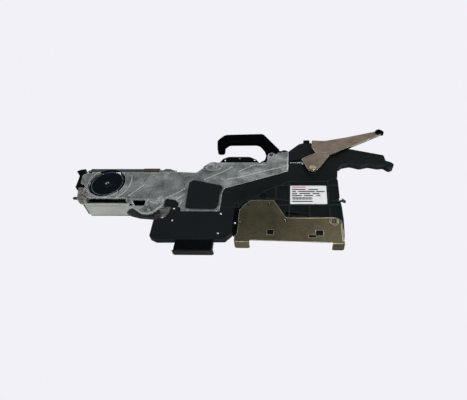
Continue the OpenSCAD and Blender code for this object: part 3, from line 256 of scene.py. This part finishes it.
# phosphated steel: brownish charcoal, dry and matt
phosphatedSteel = castMetal("phosphatedSteel", {
    "dark": "#201f1e", "skin": "#2f2d2b", "light": "#3a3734", "wearAndHighlightColour": "#6a6763",
    "blotchMm": 6, "flowMm": 14, "grainMm": 0.6, "grainDepthMm": 0.03,
    "wearAndHighlightMm": 0.35, "metallic": 0.5, "roughness": (0.42, 0.55)})
# zinc plate with an aged yellow passivation: olive brown, belt grain, soft clouds
platedSteel = brushedMetal("yellowPassivatedSteel", {
    "dark": "#3f3c2e", "light": "#4f4b3a", "speck": "#857f69", "wearAndHighlightColour": "#fff6de", "speckStrength": "#707070",
    "grainMm": 0.5, "along": (0.06, 1, 1), "cloudMm": 45, "speckMm": 2.2, "grainDepthMm": 0.008,
    "grainShade": "#c8c8c8", "wearAndHighlightMm": 0.6, "metallic": 1.0, "roughness": (0.26, 0.38)})
# stainless sheet, belt brushed: warm grey with fine streaks along the lever
leverSteel = brushedMetal("brushedStainless", {
    "dark": "#776b5d", "light": "#8b7e6f", "speck": "#a59a8a", "wearAndHighlightColour": "#fffaf0", "speckStrength": "#505050",
    "grainMm": 0.5, "along": (0.05, 1, 0.7), "cloudMm": 28, "speckMm": 1.6, "grainDepthMm": 0.01,
    "grainShade": "#c0c0c0", "cutFaceOxideAndShade": "#39342c", "wearAndHighlightMm": 0.6, "metallic": 1.0, "roughness": (0.26, 0.38)})
# drawn spring wire: bright, with faint draw lines
springSteel = brushedMetal("springSteel", {
    "dark": "#b7b9b8", "light": "#d2d4d3", "speck": "#e6e7e6", "wearAndHighlightColour": "#ffffff", "speckStrength": "#404040",
    "grainMm": 0.5, "along": (1, 1, 0.08), "cloudMm": 12, "speckMm": 1.2, "grainDepthMm": 0.01,
    "wearAndHighlightMm": 0.2, "metallic": 1.0, "roughness": (0.2, 0.32)})
# blackened sheet: blue-grey, brushed along the tape
guideSteel = brushedMetal("blackenedGuideSteel", {
    "dark": "#3b3e41", "light": "#4b4f52", "speck": "#6b6f72", "wearAndHighlightColour": "#9a9ea0", "speckStrength": "#505050",
    "grainMm": 0.6, "along": (0.05, 1, 1), "cloudMm": 22, "speckMm": 1.5, "grainDepthMm": 0.015,
    "wearAndHighlightMm": 0.3, "metallic": 0.9, "roughness": (0.32, 0.45)})
# tempered spring strip: dull grey in patches
dullSpring = brushedMetal("dulledSpringSteel", {
    "dark": "#454846", "light": "#747775", "speck": "#9b9e9c", "wearAndHighlightColour": "#e2e4e2", "speckStrength": "#606060",
    "grainMm": 0.5, "along": (1, 1, 0.1), "cloudMm": 5, "speckMm": 1.2, "grainDepthMm": 0.01,
    "wearAndHighlightMm": 0.35, "metallic": 0.8, "roughness": (0.3, 0.45)})
# bearing bronze, tarnished brown
linerBronze = brushedMetal("agedBronze", {
    "dark": "#453d2f", "light": "#5a503e", "speck": "#7a6d55", "wearAndHighlightColour": "#9a8c6f", "speckStrength": "#404040",
    "grainMm": 0.5, "along": (0.08, 1, 1), "cloudMm": 9, "speckMm": 1.0, "grainDepthMm": 0.01,
    "wearAndHighlightMm": 0.25, "metallic": 0.9, "roughness": (0.35, 0.5)})
# satin enamel on folded sheet: even warm grey, a shade lighter at the edges (wear and painted highlight) and
# darker in inner corners (painted shade)
coverPaint = castMetal("satinGreyPaint", {
    "dark": "#a3a8a0", "skin": "#b0b4ac", "light": "#bcc0b8", "wearAndHighlightColour": "#e2e4de",
    "blotchMm": 26, "flowMm": 40, "grainMm": 0.7, "grainDepthMm": 0.01,
    "cornerShadeColour": "#5c5f5b", "wearAndHighlightMm": 0.4, "metallic": 0.0, "roughness": (0.45, 0.55)})
# glass-filled nylon: deep black with a fine mould grain
blackNylon = mouldedPlastic("blackNylon", {
    "skin": "#020304", "light": "#040607", "dust": "#121517", "wearAndHighlightColour": "#1a1e20",
    "grainMm": 0.5, "grainDepthMm": 0.03, "cloudMm": 30, "dustMm": 7, "wearAndHighlightMm": 0.7,
    "sheen": 0.02, "roughness": (0.45, 0.6)})
# the carrying handle's nylon: the deepest black; edges lighter, partly polish from hands and partly a painted
# highlight
handleNylon = mouldedPlastic("handleNylon", {
    "skin": "#030404", "light": "#050607", "dust": "#0b0d0e", "wearAndHighlightColour": "#1c2022",
    "grainMm": 0.5, "grainDepthMm": 0.03, "cloudMm": 30, "dustMm": 7, "wearAndHighlightMm": 0.8,
    "sheen": 0.0, "roughness": (0.45, 0.6)})
# moulded ABS covers: blue-black, even grain, dust in patches
coverAbs = mouldedPlastic("coverAbs", {
    "skin": "#0b0f10", "light": "#0e1314", "dust": "#1c2224", "wearAndHighlightColour": "#2c3335",
    "grainMm": 0.6, "grainDepthMm": 0.03, "cloudMm": 40, "dustMm": 8, "wearAndHighlightMm": 0.5,
    "sheen": 0.06, "roughness": (0.5, 0.62)})
# the grip's nylon: black with a green cast; lighter clouds, partly handling marks and partly a painted sheen;
# painted shade in inner corners
gripNylon = mouldedPlastic("gripNylon", {
    "skin": "#080d0c", "light": "#131817", "dust": "#1b2121", "wearAndHighlightColour": "#3a4444",
    "grainMm": 0.7, "grainDepthMm": 0.04, "cloudMm": 70, "dustMm": 9, "wearAndHighlightMm": 0.8, "cornerShadeMm": 3,
    "sheen": 0.04, "roughness": (0.48, 0.62)})
# the ribbed panel's nylon: pockets blackened by painted shade, rib edges lighter with a painted highlight
panelNylon = mouldedPlastic("ribbedPanelNylon", {
    "skin": "#070b0b", "light": "#0e1414", "dust": "#1b2121", "wearAndHighlightColour": "#3e494b",
    "grainMm": 0.7, "grainDepthMm": 0.04, "cloudMm": 30, "dustMm": 9, "wearAndHighlightMm": 0.75, "cornerShadeMm": 10,
    "sheen": 0.04, "roughness": (0.48, 0.62)})
# moulded nitrile rubber: dark grey and matt
rollerRubber = mouldedPlastic("rollerRubber", {
    "skin": "#1b1c1d", "light": "#232425", "dust": "#3a3a3a", "wearAndHighlightColour": "#3a3c3d",
    "grainMm": 0.4, "grainDepthMm": 0.03, "cloudMm": 8, "dustMm": 3, "wearAndHighlightMm": 0.3,
    "sheen": 0.1, "roughness": (0.6, 0.75)})
# natural acetal gears: creamy and slightly waxy
acetal = mouldedPlastic("naturalAcetal", {
    "skin": "#cfcabb", "light": "#ddd8ca", "dust": "#a79f8c", "wearAndHighlightColour": "#ece8dc",
    "grainMm": 0.3, "grainDepthMm": 0.01, "cloudMm": 10, "dustMm": 3, "wearAndHighlightMm": 0.2,
    "sheen": 0.5, "roughness": (0.3, 0.42)})
# black anodised aluminium with an oil film: reads as deep blue-black
wheelAnodised = mouldedPlastic("blackAnodisedWheel", {
    "skin": "#01070b", "light": "#030c12", "dust": "#0a141b", "wearAndHighlightColour": "#6d787e",
    "grainMm": 0.4, "grainDepthMm": 0.01, "cloudMm": 12, "dustMm": 4, "wearAndHighlightMm": 0.25,
    "sheen": 0.025, "roughness": (0.32, 0.44)})
# moulded ABS key, pale grey
lightKey = mouldedPlastic("lightKeyAbs", {
    "skin": "#cfd2d1", "light": "#dadddb", "dust": "#b4b7b5", "wearAndHighlightColour": "#eceeed",
    "grainMm": 0.4, "grainDepthMm": 0.01, "cloudMm": 6, "dustMm": 2, "wearAndHighlightMm": 0.2,
    "sheen": 0.4, "roughness": (0.4, 0.5)})
# moulded ABS key, mid grey
greyKey = mouldedPlastic("greyKeyAbs", {
    "skin": "#7b7f82", "light": "#868a8d", "dust": "#9a9ea0", "wearAndHighlightColour": "#a4a8ab",
    "grainMm": 0.4, "grainDepthMm": 0.01, "cloudMm": 6, "dustMm": 2, "wearAndHighlightMm": 0.2,
    "sheen": 0.4, "roughness": (0.4, 0.5)})
# white polyester film, greyed and slightly glossy
labelFilm = mouldedPlastic("labelFilm", {
    "skin": "#c3c5c4", "light": "#cdcfce", "dust": "#b1b3b2", "wearAndHighlightColour": "#dcdedd",
    "grainMm": 1.5, "grainDepthMm": 0.005, "cloudMm": 18, "dustMm": 5, "wearAndHighlightMm": 0.2,
    "sheen": 0.5, "roughness": (0.3, 0.4)})
# solder mask over copper: green, edges worn to the laminate
boardGreen = mouldedPlastic("solderMask", {
    "skin": "#14442f", "light": "#1b5239", "dust": "#2a6a4c", "wearAndHighlightColour": "#8a8460",
    "grainMm": 0.8, "grainDepthMm": 0.02, "cloudMm": 5, "dustMm": 2, "wearAndHighlightMm": 0.2,
    "sheen": 0.6, "roughness": (0.25, 0.4)})
# clear moulded lens over a lamp: grey and glassy
lensClear = mouldedPlastic("clearLens", {
    "skin": "#6d7274", "light": "#7d8284", "dust": "#93989a", "wearAndHighlightColour": "#b4b8ba",
    "grainMm": 0.3, "grainDepthMm": 0.002, "cloudMm": 3, "dustMm": 1, "wearAndHighlightMm": 0.1,
    "sheen": 0.6, "roughness": (0.1, 0.18)})
# blackened screws: dark domes whose turned rims are brightened by a painted highlight
blackenedScrew = castMetal("blackenedScrew", {
    "dark": "#1d1b16", "skin": "#2c2a22", "light": "#3c392e", "wearAndHighlightColour": "#fffdf4",
    "blotchMm": 1.5, "flowMm": 3, "grainMm": 0.3, "grainDepthMm": 0.01,
    "wearAndHighlightMm": 0.9, "metallic": 0.9, "roughness": (0.22, 0.34)})
# bare metal from the last cut: fine rings, oily grey
machinedRing = turnedMetal("machinedWheelEdge", {
    "skin": "#6a7276", "stain": "#3a4246", "grainMm": 0.2, "grainDepthMm": 0.008,
    "stainMm": 7, "roughness": (0.24, 0.36)})
# red ink on the label film, slightly raised and matt
printRed = mouldedPlastic("redLabelInk", {
    "skin": "#a0222e", "light": "#ab303b", "dust": "#c4606a", "wearAndHighlightColour": "#a0222e",
    "grainMm": 0.6, "grainDepthMm": 0.002, "cloudMm": 3, "dustMm": 1, "wearAndHighlightMm": 0.05,
    "sheen": 0.3, "roughness": (0.35, 0.45)})
# dark ink on the label film
printGrey = mouldedPlastic("greyLabelInk", {
    "skin": "#17191b", "light": "#222426", "dust": "#3d4042", "wearAndHighlightColour": "#17191b",
    "grainMm": 0.6, "grainDepthMm": 0.002, "cloudMm": 3, "dustMm": 1, "wearAndHighlightMm": 0.05,
    "sheen": 0.3, "roughness": (0.35, 0.45)})
# bright zinc plate over turned steel
zincScrew = turnedMetal("zincPlatedScrew", {
    "skin": "#d6d7d5", "stain": "#b4b4ae", "grainMm": 0.25, "grainDepthMm": 0.01,
    "stainMm": 1.5, "roughness": (0.16, 0.3)})
# turned pin, tarnished to a brassy brown
pinBronze = turnedMetal("dulledPinHead", {
    "skin": "#ada189", "stain": "#6f6654", "grainMm": 0.2, "grainDepthMm": 0.01,
    "stainMm": 2.5, "roughness": (0.2, 0.34)})
# ground steel pins: bright and even
groundSteel = turnedMetal("groundSteel", {
    "skin": "#c3c5c6", "stain": "#a2a4a5", "grainMm": 0.2, "grainDepthMm": 0.008,
    "stainMm": 4, "roughness": (0.18, 0.3)})
# the motor's drawn can, dark plated
motorCan = turnedMetal("motorCan", {
    "skin": "#3f4243", "stain": "#2e3031", "grainMm": 0.3, "grainDepthMm": 0.006,
    "stainMm": 6, "roughness": (0.28, 0.42)})
# machined brass, yellow and bright
brassGear = turnedMetal("machinedBrass", {
    "skin": "#c8a45a", "stain": "#a78443", "grainMm": 0.2, "grainDepthMm": 0.008,
    "stainMm": 2, "roughness": (0.2, 0.32)})
# hard gold over nickel
goldContact = turnedMetal("goldFlash", {
    "skin": "#d2ad57", "stain": "#bb9644", "grainMm": 0.15, "grainDepthMm": 0.003,
    "stainMm": 1, "roughness": (0.15, 0.25)})
print("finishes made:", len(bpy.data.materials))

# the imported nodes: finish, and width of the broken edge in millimetres
dressed = {
    "main_frame": (castAluminium, 0.35), "far_frame": (castFar, 0.35), "bottom_rail": (coverPaint, 0.25),
    "bottom_cover": (coverPaint, 0.3), "front_block": (stainedCast, 0.4),
    "front_pin": (phosphatedSteel, 0.15), "exit_guide": (blackNylon, 0.3), "tape_guide": (guideSteel, 0.15),
    "guide_liner": (linerBronze, 0.1), "guide_pins": (groundSteel, 0.15), "guide_latch": (dullSpring, 0.15),
    "feed_wheel": (wheelAnodised, 0.12), "wheel_gear": (acetal, 0.1), "wheel_axle": (groundSteel, 0.2),
    "idler_gear": (acetal, 0.1), "idler_axle": (groundSteel, 0.2), "pinion": (brassGear, 0.06),
    "motor": (motorCan, 0.4), "motor_bracket": (castFar, 0.2), "motor_cover": (coverAbs, 0.45),
    "takeup_housing": (castAluminium, 0.25), "roller_lower": (rollerRubber, 0.12),
    "roller_upper": (rollerRubber, 0.12), "takeup_pins": (groundSteel, 0.2),
    "tape_channel": (castFar, 0.15), "channel_roof": (castFar, 0.15), "board_cover": (coverAbs, 0.5),
    "circuit_board": (boardGreen, 0.05), "cover_screws": (zincScrew, 0.12),
    "connector_block": (blackNylon, 0.3), "contact_pins": (goldContact, 0.05),
    "bank_shoe": (shoeAlloy, 0.35), "small_cover": (coverAbs, 0.4), "leaf_spring": (dullSpring, 0.12),
    "clamp_hook": (blackOxide, 0.4), "hook_pin": (phosphatedSteel, 0.2), "side_plate": (platedSteel, 0.4),
    "plate_screws": (zincScrew, 0.12), "post": (blackNylon, 0.3), "rear_panel": (panelNylon, 0.4),
    "rear_far_cover": (gripNylon, 0.3), "label_plate": (labelFilm, 0.05), "grip": (gripNylon, 0.5),
    "lever": (leverSteel, 0.5), "lever_cap": (handleNylon, 0.5), "lever_pin": (zincScrew, 0.25),
    "return_spring": (springSteel, 0), "link_rod": (springSteel, 0.2), "rear_cover": (coverAbs, 0.5),
    "release_button": (blackNylon, 0.5), "latch_knob": (zincScrew, 0.5),
    "tape_hook": (phosphatedSteel, 0.2), "carry_handle": (handleNylon, 1.6),
    "handle_screws": (zincScrew, 0.15), "key_panel": (blackNylon, 0.5), "key_forward": (lightKey, 0.4),
    "key_back": (greyKey, 0.4), "status_lens": (lensClear, 0.15), "panel_screws": (zincScrew, 0.12),
    "wheel_screw": (zincScrew, 0.2),
}

brokenEdge = {"flatDegrees": 0.5, "sharpDegrees": 34, "segments": 2}


def breakEdges(piece, widthMm):  # a small round on sharp edges, as casting, moulding and deburring leave it
    shape = piece.data
    if shape.has_custom_normals:
        shape.attributes.remove(shape.attributes["custom_normal"])
    shape.shade_smooth()
    weld = piece.modifiers.new("weld", "WELD")
    weld.merge_threshold = weldMm * mm
    flats = piece.modifiers.new("flats", "DECIMATE")
    flats.decimate_type = "DISSOLVE"
    flats.angle_limit = math.radians(brokenEdge["flatDegrees"])
    tiles = piece.modifiers.new("tiles", "TRIANGULATE")
    tiles.ngon_method = "BEAUTY"
    edges = piece.modifiers.new("edges", "BEVEL")
    edges.width = widthMm * mm
    edges.segments = brokenEdge["segments"]
    edges.limit_method = "ANGLE"
    edges.angle_limit = math.radians(brokenEdge["sharpDegrees"])
    edges.harden_normals = True
    edges.miter_outer = "MITER_ARC"


for name, (finish, edge) in dressed.items():
    piece = nodes[name]
    piece.data.materials.clear()
    piece.data.materials.append(finish)
    if edge:
        breakEdges(piece, edge)
print("nodes dressed:", len(dressed))


# pieces made here

def newPiece(name, shape, finish, body, slot, *stands):  # a mesh that rides on a body and may replace nodes
    bmesh.ops.recalc_face_normals(shape, faces=shape.faces)
    mesh = bpy.data.meshes.new(name)
    shape.to_mesh(mesh)
    shape.free()
    mesh.materials.append(finish)
    piece = bpy.data.objects.new(name, mesh)
    sceneObjects.link(piece)
    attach(piece, body)
    if stands:
        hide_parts(*stands)


def bridgeRings(shape, rings, closed=False):  # quads between rings of points; capped, or closed on itself
    loops = [[shape.verts.new(p) for p in ring] for ring in rings]
    count = len(loops[0])
    pairs = list(zip(loops, loops[1:]))
    if closed:
        pairs.append((loops[-1], loops[0]))
    for a, b in pairs:
        for i in range(count):
            j = (i + 1) % count
            shape.faces.new((a[i], a[j], b[j], b[i])).smooth = True
    if not closed:
        shape.faces.new(loops[0])
        shape.faces.new(loops[-1])


def looseBoxes(name):  # where each separate solid of a node is; solids on one axis along Y count as one
    shape = bmesh.new()
    shape.from_mesh(nodes[name].data)
    bmesh.ops.remove_doubles(shape, verts=shape.verts, dist=weldMm * mm)
    left = set(shape.verts)
    spots = {}
    while left:
        found = []
        border = [left.pop()]
        while border:
            vert = border.pop()
            found.append(vert.co)
            near = {e.other_vert(vert) for e in vert.link_edges} & left
            left -= near
            border += near
        low = [min(p[k] for p in found) for k in range(3)]
        high = [max(p[k] for p in found) for k in range(3)]
        key = (round((low[0] + high[0]) / 2 / mm), round((low[2] + high[2]) / 2 / mm))
        oldLow, oldHigh = spots.get(key, (low, high))
        spots[key] = (list(map(min, low, oldLow)), list(map(max, high, oldHigh)))
    shape.free()
    return sorted(spots.values())


def roundRing(x, y, z, radius, sides):  # points on a circle about an axis along Y
    turns = [k / sides * math.tau for k in range(sides)]
    return [Vector((x + radius * math.cos(a), y, z + radius * math.sin(a))) for a in turns]


screwForm = {  # parts of the head's radius and height, and turns in radians
    "profile": ((1.0, 0.0), (1.0, 0.35), (0.95, 0.62), (0.84, 0.85), (0.66, 1.0)), "height": 0.45,
    "armWidth": 0.15, "armLength": 0.52, "recess": 0.55, "taper": 0.8, "firstTurn": 0.6, "nextTurn": 1.9}


def crossRadius(angle, width, length):  # distance from the centre to the outline of a cross in that direction
    turn = (angle + math.pi / 4) % (math.pi / 2) - math.pi / 4
    side = abs(math.sin(turn))
    return min(length / math.cos(turn), width / side) if side else length


def panHead(shape, spot, radius, height, turn):  # a domed head along -Y with a cross recess
    corner = math.atan(screwForm["armWidth"] / screwForm["armLength"])
    steps = [0, corner, (corner + math.pi / 4) / 2, math.pi / 4,
             math.pi / 2 - (corner + math.pi / 4) / 2, math.pi / 2 - corner]
    angles = [q * math.pi / 2 + a for q in range(4) for a in steps]

    def ring(reach, rise):
        x, y, z = spot
        return [Vector((x + reach(a) * math.cos(a + turn), y - rise, z + reach(a) * math.sin(a + turn)))
                for a in angles]

    def cross(part):
        return lambda a: part * radius * crossRadius(a, screwForm["armWidth"], screwForm["armLength"])

    rings = [ring(lambda a, p=part: p * radius, h * height) for part, h in screwForm["profile"]]
    rings.append(ring(cross(1), height))
    rings.append(ring(cross(screwForm["taper"]), height * (1 - screwForm["recess"])))
    bridgeRings(shape, rings)


def screws(name, finish, slot, body="root", part=1.0):  # pan heads in the places of a node's plain ones
    shape = bmesh.new()
    for i, (low, high) in enumerate(looseBoxes(name)):  # each turned as the driver left it
        radius = (high[0] - low[0]) / 2 * part
        height = min(high[1] - low[1], screwForm["height"] * radius)
        spot = ((low[0] + high[0]) / 2, low[1] + height, (low[2] + high[2]) / 2)
        panHead(shape, spot, radius, height, screwForm["firstTurn"] + i * screwForm["nextTurn"])
    newPiece(name + "Heads", shape, finish, body, slot, name)


screws("plate_screws", blackenedScrew, "steel")
screws("cover_screws", zincScrew, "steel", part=0.6)
screws("handle_screws", blackenedScrew, "steel")
screws("panel_screws", zincScrew, "steel", part=0.8)
screws("wheel_screw", machinedRing, "steel", "wheel", 0.42)
print("screw heads made")

pivotForm = {  # parts of the head's radius, and of its height in the profile
    "profile": ((0.34, 0.55), (0.42, 0.72), (0.60, 0.78), (0.68, 1.0), (0.86, 1.0), (1.0, 0.7), (1.0, 0.0)),
    "height": 0.34, "shank": 0.58, "chamferMm": 0.3, "sides": 48}


def pivotHead():  # the lever's pin: a turned head with a raised rim and a dished middle, and its shank
    low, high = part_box("lever_pin")
    centre = (low + high) / 2
    radius = (high.x - low.x) / 2
    height = pivotForm["height"] * radius
    shank = pivotForm["shank"] * radius
    chamfer = pivotForm["chamferMm"] * mm
    profile = [(part * radius, low.y + height * (1 - rise)) for part, rise in pivotForm["profile"]]
    profile += [(shank, low.y + height), (shank, high.y - chamfer), (shank - chamfer, high.y)]
    rings = [roundRing(centre.x, y, centre.z, reach, pivotForm["sides"]) for reach, y in profile]
    shape = bmesh.new()
    bridgeRings(shape, rings)
    newPiece("pivotHead", shape, pinBronze, "root", "steel", "lever_pin")


holeShadeForm = {  # the profile in parts of radius and height; each spot is X, Z and radius
    "profile": ((0.45, 0.35), (0.5, 0.0), (0.86, 0.0), (1.0, 0.08), (1.0, 1.0)),
    "spotsMm": ((-200.5, 117.8, 1.9), (-199.5, 110.5, 0.9), (-191.0, 109.6, 1.3)),
    "sunkMm": 0.7, "heightMm": 1.9, "sides": 24}


def holeShadeHeads():  # painted shade: black socket heads sunk in the holes of the frame's front corner, put there so the holes read dark
    shape = bmesh.new()
    for x, z, radius in holeShadeForm["spotsMm"]:
        rings = []
        for part, deep in holeShadeForm["profile"]:
            y = holeShadeForm["sunkMm"] + deep * holeShadeForm["heightMm"]
            rings.append(roundRing(x * mm, y * mm, z * mm, part * radius * mm, holeShadeForm["sides"]))
        bridgeRings(shape, rings)
    newPiece("holeShadeHeads", shape, blackOxide, "root", "steel")


coil = {"turns": 4.0, "wireMm": 1.3, "stepsPerTurn": 40, "sides": 10}


def returnCoil():  # the lever's torsion spring, one wire wound round the pivot's boss
    low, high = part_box("return_spring")
    centre = (low + high) / 2
    wire = coil["wireMm"] * mm / 2
    radius = (high.x - low.x) / 2 - wire
    rise = (high.y - low.y - 2 * wire) / coil["turns"]
    axis = Vector((0, 1, 0))
    section = [k / coil["sides"] * math.tau for k in range(coil["sides"])]
    rings = []
    for i in range(int(coil["turns"] * coil["stepsPerTurn"]) + 1):
        a = i / coil["stepsPerTurn"] * math.tau
        out = Vector((math.cos(a), 0, math.sin(a)))
        middle = Vector((centre.x, low.y + wire + rise * a / math.tau, centre.z)) + out * radius
        rings.append([middle + wire * (out * math.cos(b) + axis * math.sin(b)) for b in section])
    shape = bmesh.new()
    bridgeRings(shape, rings)
    newPiece("returnCoil", shape, springSteel, "root", "steel", "return_spring")


wheelEdge = {"toothMm": 1.3, "insetMm": 1.9, "widthMm": 0.9, "proudMm": 0.12, "faceMm": 1.4,
             "chamferPart": 0.4, "sides": 120}


def machinedEdge():  # bright ring that the last cut leaves on the wheel's near face
    low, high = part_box("feed_wheel")
    centre = (low + high) / 2
    outer = (high.x - low.x) / 2 - (wheelEdge["toothMm"] + wheelEdge["insetMm"]) * mm
    inner = outer - wheelEdge["widthMm"] * mm
    face = wheelEdge["faceMm"] * mm
    proud = wheelEdge["proudMm"] * mm
    corner = face - proud * wheelEdge["chamferPart"]
    profile = [(outer, face + proud), (outer, corner), (outer - proud, face - proud),
               (inner + proud, face - proud), (inner, corner), (inner, face + proud)]
    turns = [k / wheelEdge["sides"] * math.tau for k in range(wheelEdge["sides"])]
    rings = [[Vector((centre.x + reach * math.cos(a), y, centre.z + reach * math.sin(a)))
              for reach, y in profile] for a in turns]
    shape = bmesh.new()
    bridgeRings(shape, rings, closed=True)
    newPiece("wheelEdge", shape, machinedRing, "wheel", "wheel_black")


labelPrint = {
    "marginMm": 3.0, "topPart": 0.7, "proudMm": 0.05,  # the top margin is that part of the side ones
    "bar": (0.0, 0.0, 0.42, 2.0),  # start, depth from the top, length along the label, and height
    "rows": ((5.2, (0.0, 0.42), (0.50, 0.30)), (9.6, (0.0, 0.12), (0.18, 0.52), (0.74, 0.26)),
             (14.0, (0.0, 0.16), (0.22, 0.34), (0.62, 0.22)), (18.4, (0.0, 0.30), (0.36, 0.28), (0.74, 0.12)),
             (31.0, (0.0, 0.62),)),
    "rowMm": 2.3, "ticks": 20, "tickParts": (0.45, 0.65, 0.85),
    "ticksFrom": 22.6, "ticksMm": 6.0, "ticksSpan": 0.62}


def printedLabel():  # generic rules, a tick scale and one thin red bar; no lettering
    low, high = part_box("label_plate")
    edge = labelPrint["marginMm"] * mm
    width = high.x - low.x - 2 * edge
    face = low.y - labelPrint["proudMm"] * mm
    grey = bmesh.new()
    red = bmesh.new()

    def mark(shape, start, length, depth, height):  # start and length as parts of the width, the others in mm
        x0 = low.x + edge + start * width
        x1 = x0 + length * width
        z1 = high.z - edge * labelPrint["topPart"] - depth * mm
        z0 = z1 - height * mm
        corners = [(x0, z0), (x1, z0), (x1, z1), (x0, z1)]
        front = [shape.verts.new((x, face, z)) for x, z in corners]
        back = [shape.verts.new((x, low.y, z)) for x, z in corners]
        shape.faces.new(front)
        for i in range(4):
            shape.faces.new((front[i], front[(i + 1) % 4], back[(i + 1) % 4], back[i]))

    start, depth, length, height = labelPrint["bar"]
    mark(red, start, length, depth, height)
    for depth, *parts in labelPrint["rows"]:
        for start, length in parts:
            mark(grey, start, length, depth, labelPrint["rowMm"])
    step = labelPrint["ticksSpan"] / labelPrint["ticks"]
    for i in range(labelPrint["ticks"]):
        part = labelPrint["tickParts"][i % len(labelPrint["tickParts"])]
        mark(grey, i * step, step * part, labelPrint["ticksFrom"], labelPrint["ticksMm"])
    newPiece("labelRules", grey, printGrey, "root", "label")
    newPiece("labelBar", red, printRed, "root", "label")


holeShadeHeads()
pivotHead()
returnCoil()
machinedEdge()
printedLabel()
print("spring, wheel edge and label print made")


# camera, lamps, floor and backdrop

studio = {  # camera in metres, degrees and millimetres, lamps in metres and watts
    "eye": (0.1493, -0.5015, -0.3204), "turn": (130.06, -1.29, 1.27), "lens": 30.95, "shift": (-0.10, 0.0),
    "sensorMm": 36, "clipStart": 0.01, "backdrop": "#F2F1F7", "ambient": 0.3,
    "floorDrop": 1.5, "floorSide": 30.0, "floorGlow": 0.8, "floorRoughness": 0.9,
    "lamps": {  # where each disc is, its size and its power; all face the middle of the part
        "key": ((0.40, -0.95, -0.80), 0.40, 13.0),
        "side": ((1.00, -0.55, -0.35), 0.30, 6.5),
        "fill": ((-0.95, -0.85, 0.15), 0.9, 1.6),
        "crest": ((1.15, -0.25, 0.80), 0.4, 3.5),
        "glint": ((0.36, -1.03, 0.70), 0.14, 0.8),
        "rim": ((1.25, 1.00, -0.15), 0.6, 6.0),
        "bounce": ((0.10, 0.55, -0.90), 0.9, 7.0),
        "back": ((0.10, 1.10, 0.75), 0.9, 7.0)}}


def placeCamera():
    eye = bpy.data.cameras.new("eye")
    eye.lens = studio["lens"]
    eye.sensor_width = studio["sensorMm"]
    eye.shift_x, eye.shift_y = studio["shift"]
    eye.clip_start = studio["clipStart"]
    camera = bpy.data.objects.new("camera", eye)
    camera.location = studio["eye"]
    camera.rotation_euler = [math.radians(a) for a in studio["turn"]]
    sceneObjects.link(camera)
    bpy.context.scene.camera = camera


def hangLamps(target):
    for name, (spot, size, power) in studio["lamps"].items():
        lamp = bpy.data.lights.new(name, "AREA")
        lamp.shape = "DISK"
        lamp.size = size
        lamp.energy = power
        holder = bpy.data.objects.new(name, lamp)
        holder.location = spot
        holder.rotation_euler = (target - Vector(spot)).to_track_quat("-Z", "Y").to_euler()
        holder.visible_camera = False
        sceneObjects.link(holder)


def layFloor(centre):  # plain and pale; seen directly it glows a little, so it is even where no lamp falls
    side = studio["floorSide"]
    corners = [(-side, -side, 0), (side, -side, 0), (side, side, 0), (-side, side, 0)]
    slab = bpy.data.meshes.new("floor")
    slab.from_pydata(corners, [], [(0, 1, 2, 3)])
    floor = bpy.data.objects.new("floor", slab)
    floor.location = (centre.x, centre.y, -studio["floorDrop"])
    sceneObjects.link(floor)
    material = bpy.data.materials.new("paleFloor")
    tree = emptyTree(material)
    colour = tint(studio["backdrop"])
    paint = addNode(tree, "BsdfDiffuse", {"Color": colour, "Roughness": studio["floorRoughness"]})
    glow = addNode(tree, "Emission", {"Color": colour, "Strength": 1.0})
    direct = addNode(tree, "LightPath").outputs["Is Camera Ray"]
    seen = addNode(tree, "Math", {0: direct, 1: studio["floorGlow"]}, operation="MULTIPLY")
    blend = addNode(tree, "MixShader", {0: seen.outputs[0], 1: paint.outputs[0], 2: glow.outputs[0]})
    addNode(tree, "OutputMaterial", {"Surface": blend.outputs[0]})
    slab.materials.append(material)


def buildWorld():  # seen directly or in a reflection it is the pale backdrop; as a light it is softer
    world = bpy.data.worlds.new("studio")
    bpy.context.scene.world = world
    tree = emptyTree(world)
    rays = addNode(tree, "LightPath").outputs
    seen = rays["Is Camera Ray"]
    for kind in ("Is Glossy Ray", "Is Transmission Ray"):
        seen = addNode(tree, "Math", {0: seen, 1: rays[kind]}, operation="MAXIMUM").outputs[0]
    soft = addNode(tree, "Background", {"Color": tint("#FFFFFF"), "Strength": studio["ambient"]})
    shown = addNode(tree, "Background", {"Color": tint(studio["backdrop"]), "Strength": 1.0})
    blend = addNode(tree, "MixShader", {0: seen, 1: soft.outputs[0], 2: shown.outputs[0]})
    addNode(tree, "OutputWorld", {"Surface": blend.outputs[0]})


cadCentre = (Vector(cadBox[0]) + Vector(cadBox[1])) / 2
placeCamera()
hangLamps(cadCentre)
layFloor(cadCentre)
buildWorld()
bpy.context.scene.view_settings.view_transform = "Standard"
print("stage built")
